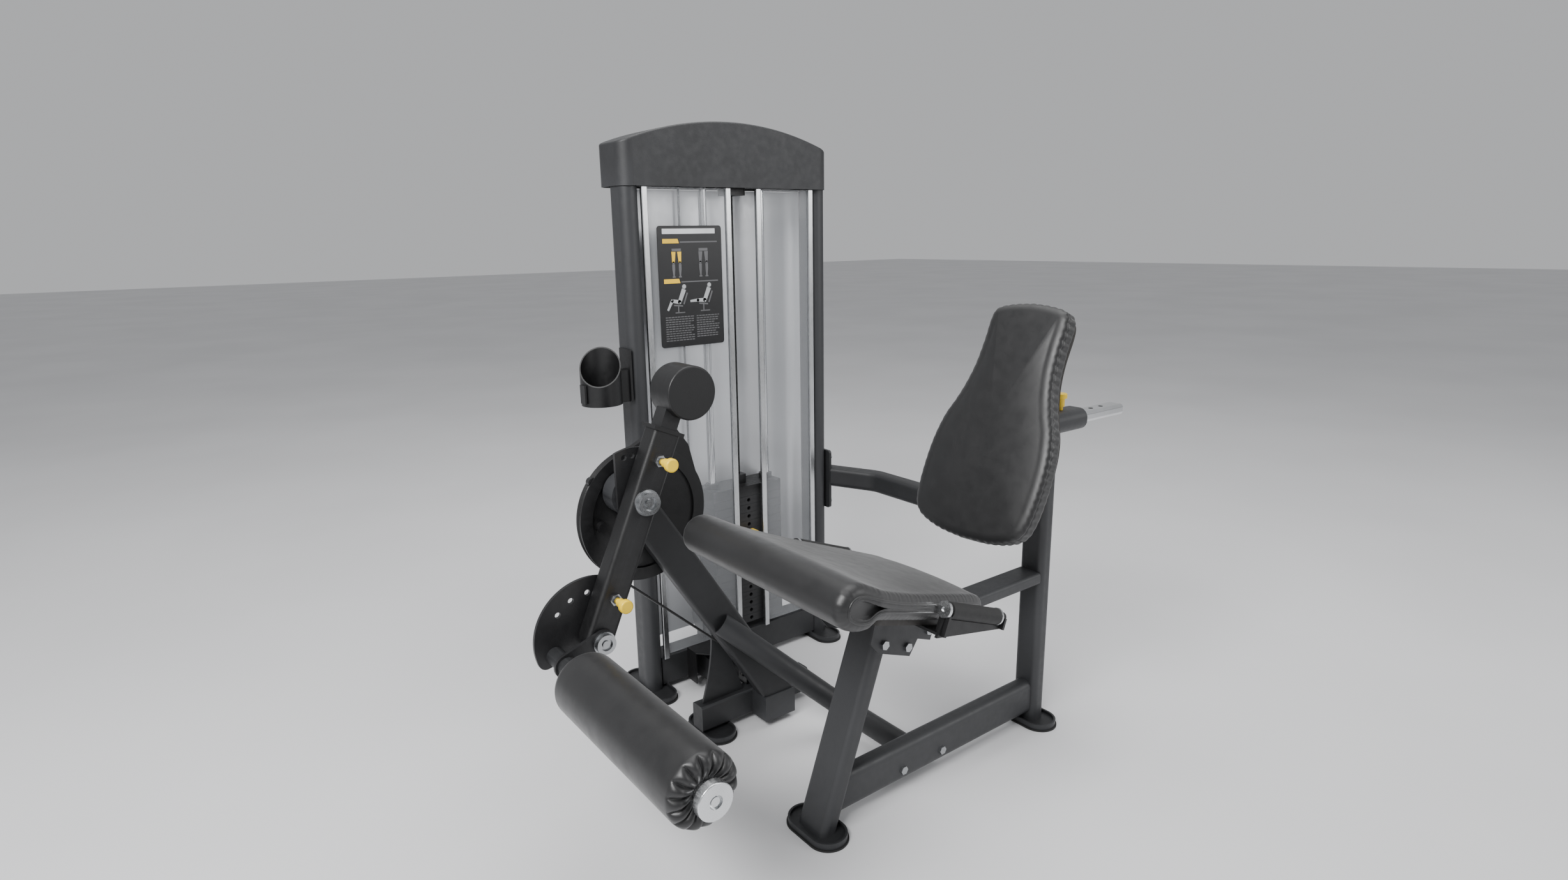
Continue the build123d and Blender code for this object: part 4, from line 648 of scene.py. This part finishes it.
def limb(start, end, width_start, width_end):
    """Tapered stroke between two points, in placard fractions."""
    ratio = PLACARD_H / PLACARD_W
    dx, dy = end[0] - start[0], (end[1] - start[1]) * ratio
    size = hypot(dx, dy)
    nx, ny = -dy / size, dx / size / ratio
    a, b = width_start / 2, width_end / 2
    return [(start[0] + nx * a, start[1] + ny * a), (end[0] + nx * b, end[1] + ny * b),
            (end[0] - nx * b, end[1] - ny * b), (start[0] - nx * a, start[1] - ny * a)]


def disc(centre, radius):
    ratio = PLACARD_H / PLACARD_W
    return [(centre[0] + radius * cos(2 * pi * i / 16), centre[1] + radius / ratio * sin(2 * pi * i / 16))
            for i in range(16)]


def standing(middle, top):
    """Lower body seen from the front: hips, thighs, calves and feet."""
    shapes = [bar(middle - 0.07, top, middle + 0.07, top + 0.022)]
    thighs = []
    for sign in (-1, 1):
        knee = (middle + sign * 0.050, top + 0.115)
        foot = (middle + sign * 0.048, top + 0.225)
        thighs.append(limb((middle + sign * 0.044, top + 0.026), knee, 0.062, 0.036))
        shapes.append(disc(knee, 0.018))
        shapes.append(limb((knee[0], knee[1] + 0.012), (knee[0], knee[1] + 0.055), 0.042, 0.040))
        shapes.append(limb((knee[0], knee[1] + 0.055), foot, 0.040, 0.020))
        shapes.append(bar(foot[0] - 0.022, foot[1], foot[0] + 0.022, foot[1] + 0.012))
    return shapes, thighs


def seated(hip, foot, knee):
    shoulder = (hip[0] + 0.075, hip[1] - 0.105)
    body = [limb(hip, shoulder, 0.055, 0.065), limb(hip, knee, 0.055, 0.045), limb(knee, foot, 0.042, 0.028),
            disc((shoulder[0] + 0.004, shoulder[1] - 0.022), 0.030), disc(hip, 0.027), disc(knee, 0.022)]
    bench = [limb((hip[0] - 0.09, hip[1] + 0.024), (hip[0] + 0.05, hip[1] + 0.034), 0.018, 0.018),
             limb((hip[0] + 0.065, hip[1] + 0.020), (hip[0] + 0.125, hip[1] - 0.075), 0.020, 0.020),
             limb((hip[0] - 0.02, hip[1] + 0.034), (hip[0] - 0.02, hip[1] + 0.085), 0.016, 0.016),
             limb((hip[0] - 0.07, hip[1] + 0.088), (hip[0] + 0.08, hip[1] + 0.088), 0.014, 0.014)]
    return body, bench


def text_rows(left, right, top, rows, pitch):
    """Plain grey strokes of uneven length that stand for small print."""
    strokes = []
    for row in range(rows):
        x = left
        k = row * 7
        while x < right - 0.02:
            width = 0.030 + 0.022 * ((k * 37) % 11) / 11
            end = min(right, x + width)
            strokes.append(bar(x, top + row * pitch, end, top + row * pitch + pitch * 0.42))
            x = end + 0.010
            k += 1
        if row % 4 == 3:
            strokes.pop()
    return strokes


def print_placard():
    plain, plain_thighs = standing(0.70, 0.185)
    worked, worked_thighs = standing(0.28, 0.185)
    body_a, bench_a = seated((0.30, 0.625), (0.115, 0.690), (0.185, 0.612))
    body_b, bench_b = seated((0.70, 0.620), (0.470, 0.622), (0.590, 0.617))
    ink("placard_white_print", "white_ink", [bar(0.075, 0.024, 0.895, 0.066)])
    ink("placard_yellow_print", "yellow_ink",
        [bar(0.075, 0.106, 0.325, 0.142, 0.02), bar(0.075, 0.432, 0.325, 0.468, 0.02)] + worked_thighs)
    ink("placard_figures", "pale_ink", body_a + body_b)
    ink("placard_grey_print", "grey_ink",
        plain + plain_thighs + worked + bench_a + bench_b
        + [bar(0.340, 0.128, 0.925, 0.138), bar(0.340, 0.454, 0.925, 0.464)]
        + text_rows(0.075, 0.520, 0.745, 11, 0.0195) + text_rows(0.560, 0.925, 0.745, 10, 0.0195))


print_placard()

# ---------------------------------------------------------------- floor, lights, camera
FLOOR_SIZE = 60.0
FLOOR_DROP = 0.0005
CAMERA_AT = Vector((-1.272, -1.536, 1.218)) + SHIFT
CAMERA_RIGHT = Vector((0.79509217, -0.60629714, -0.01523877))
CAMERA_DOWN = Vector((-0.15108556, -0.17367296, -0.97314483))
CAMERA_FORWARD = Vector((0.58736836, 0.77604219, -0.22968875))
CAMERA_LENS = 19.903


def make_floor():
    mat, tree, shader, coords = new_material("pale_floor")
    tree.links.new(ramp(tree, noise(tree, coords, 0.8, 3.0), (0.60, 0.60, 0.61), (0.64, 0.64, 0.65)),
                   shader.inputs["Base Color"])
    shader.inputs["Roughness"].default_value = 0.7
    bpy.ops.mesh.primitive_plane_add(size=FLOOR_SIZE, location=(0.0, 0.0, -FLOOR_DROP))
    floor = bpy.context.object
    floor.name = "floor"
    floor.data.materials.append(mat)


def area_light(name, location, target, size, power):
    data = bpy.data.lights.new(name, "AREA")
    data.shape = "RECTANGLE"
    data.size, data.size_y = size
    data.energy = power
    light = bpy.data.objects.new(name, data)
    light.location = location
    light.rotation_euler = (Vector(target) - Vector(location)).to_track_quat("-Z", "Y").to_euler()
    bpy.context.scene.collection.objects.link(light)


def make_lights():
    world = bpy.data.worlds.new("studio")
    world.use_nodes = True
    world.node_tree.nodes["Background"].inputs["Color"].default_value = (0.90, 0.91, 0.93, 1.0)
    world.node_tree.nodes["Background"].inputs["Strength"].default_value = 0.55
    bpy.context.scene.world = world
    area_light("key", (-3.2, -1.4, 3.4), (0.0, 0.0, 0.6), (2.2, 1.6), 260.0)
    area_light("overhead", (0.4, 0.2, 4.2), (0.0, 0.0, 0.5), (4.0, 3.0), 120.0)
    area_light("fill", (2.6, -3.6, 2.2), (0.1, 0.0, 0.6), (2.4, 1.8), 60.0)


def make_camera():
    data = bpy.data.cameras.new("camera")
    data.lens = CAMERA_LENS
    data.sensor_width = 36.0
    camera = bpy.data.objects.new("camera", data)
    turn = Matrix((CAMERA_RIGHT, -CAMERA_DOWN, -CAMERA_FORWARD)).transposed().to_4x4()
    camera.matrix_world = Matrix.Translation(CAMERA_AT) @ turn
    bpy.context.scene.collection.objects.link(camera)
    bpy.context.scene.camera = camera


make_floor()
make_lights()
make_camera()
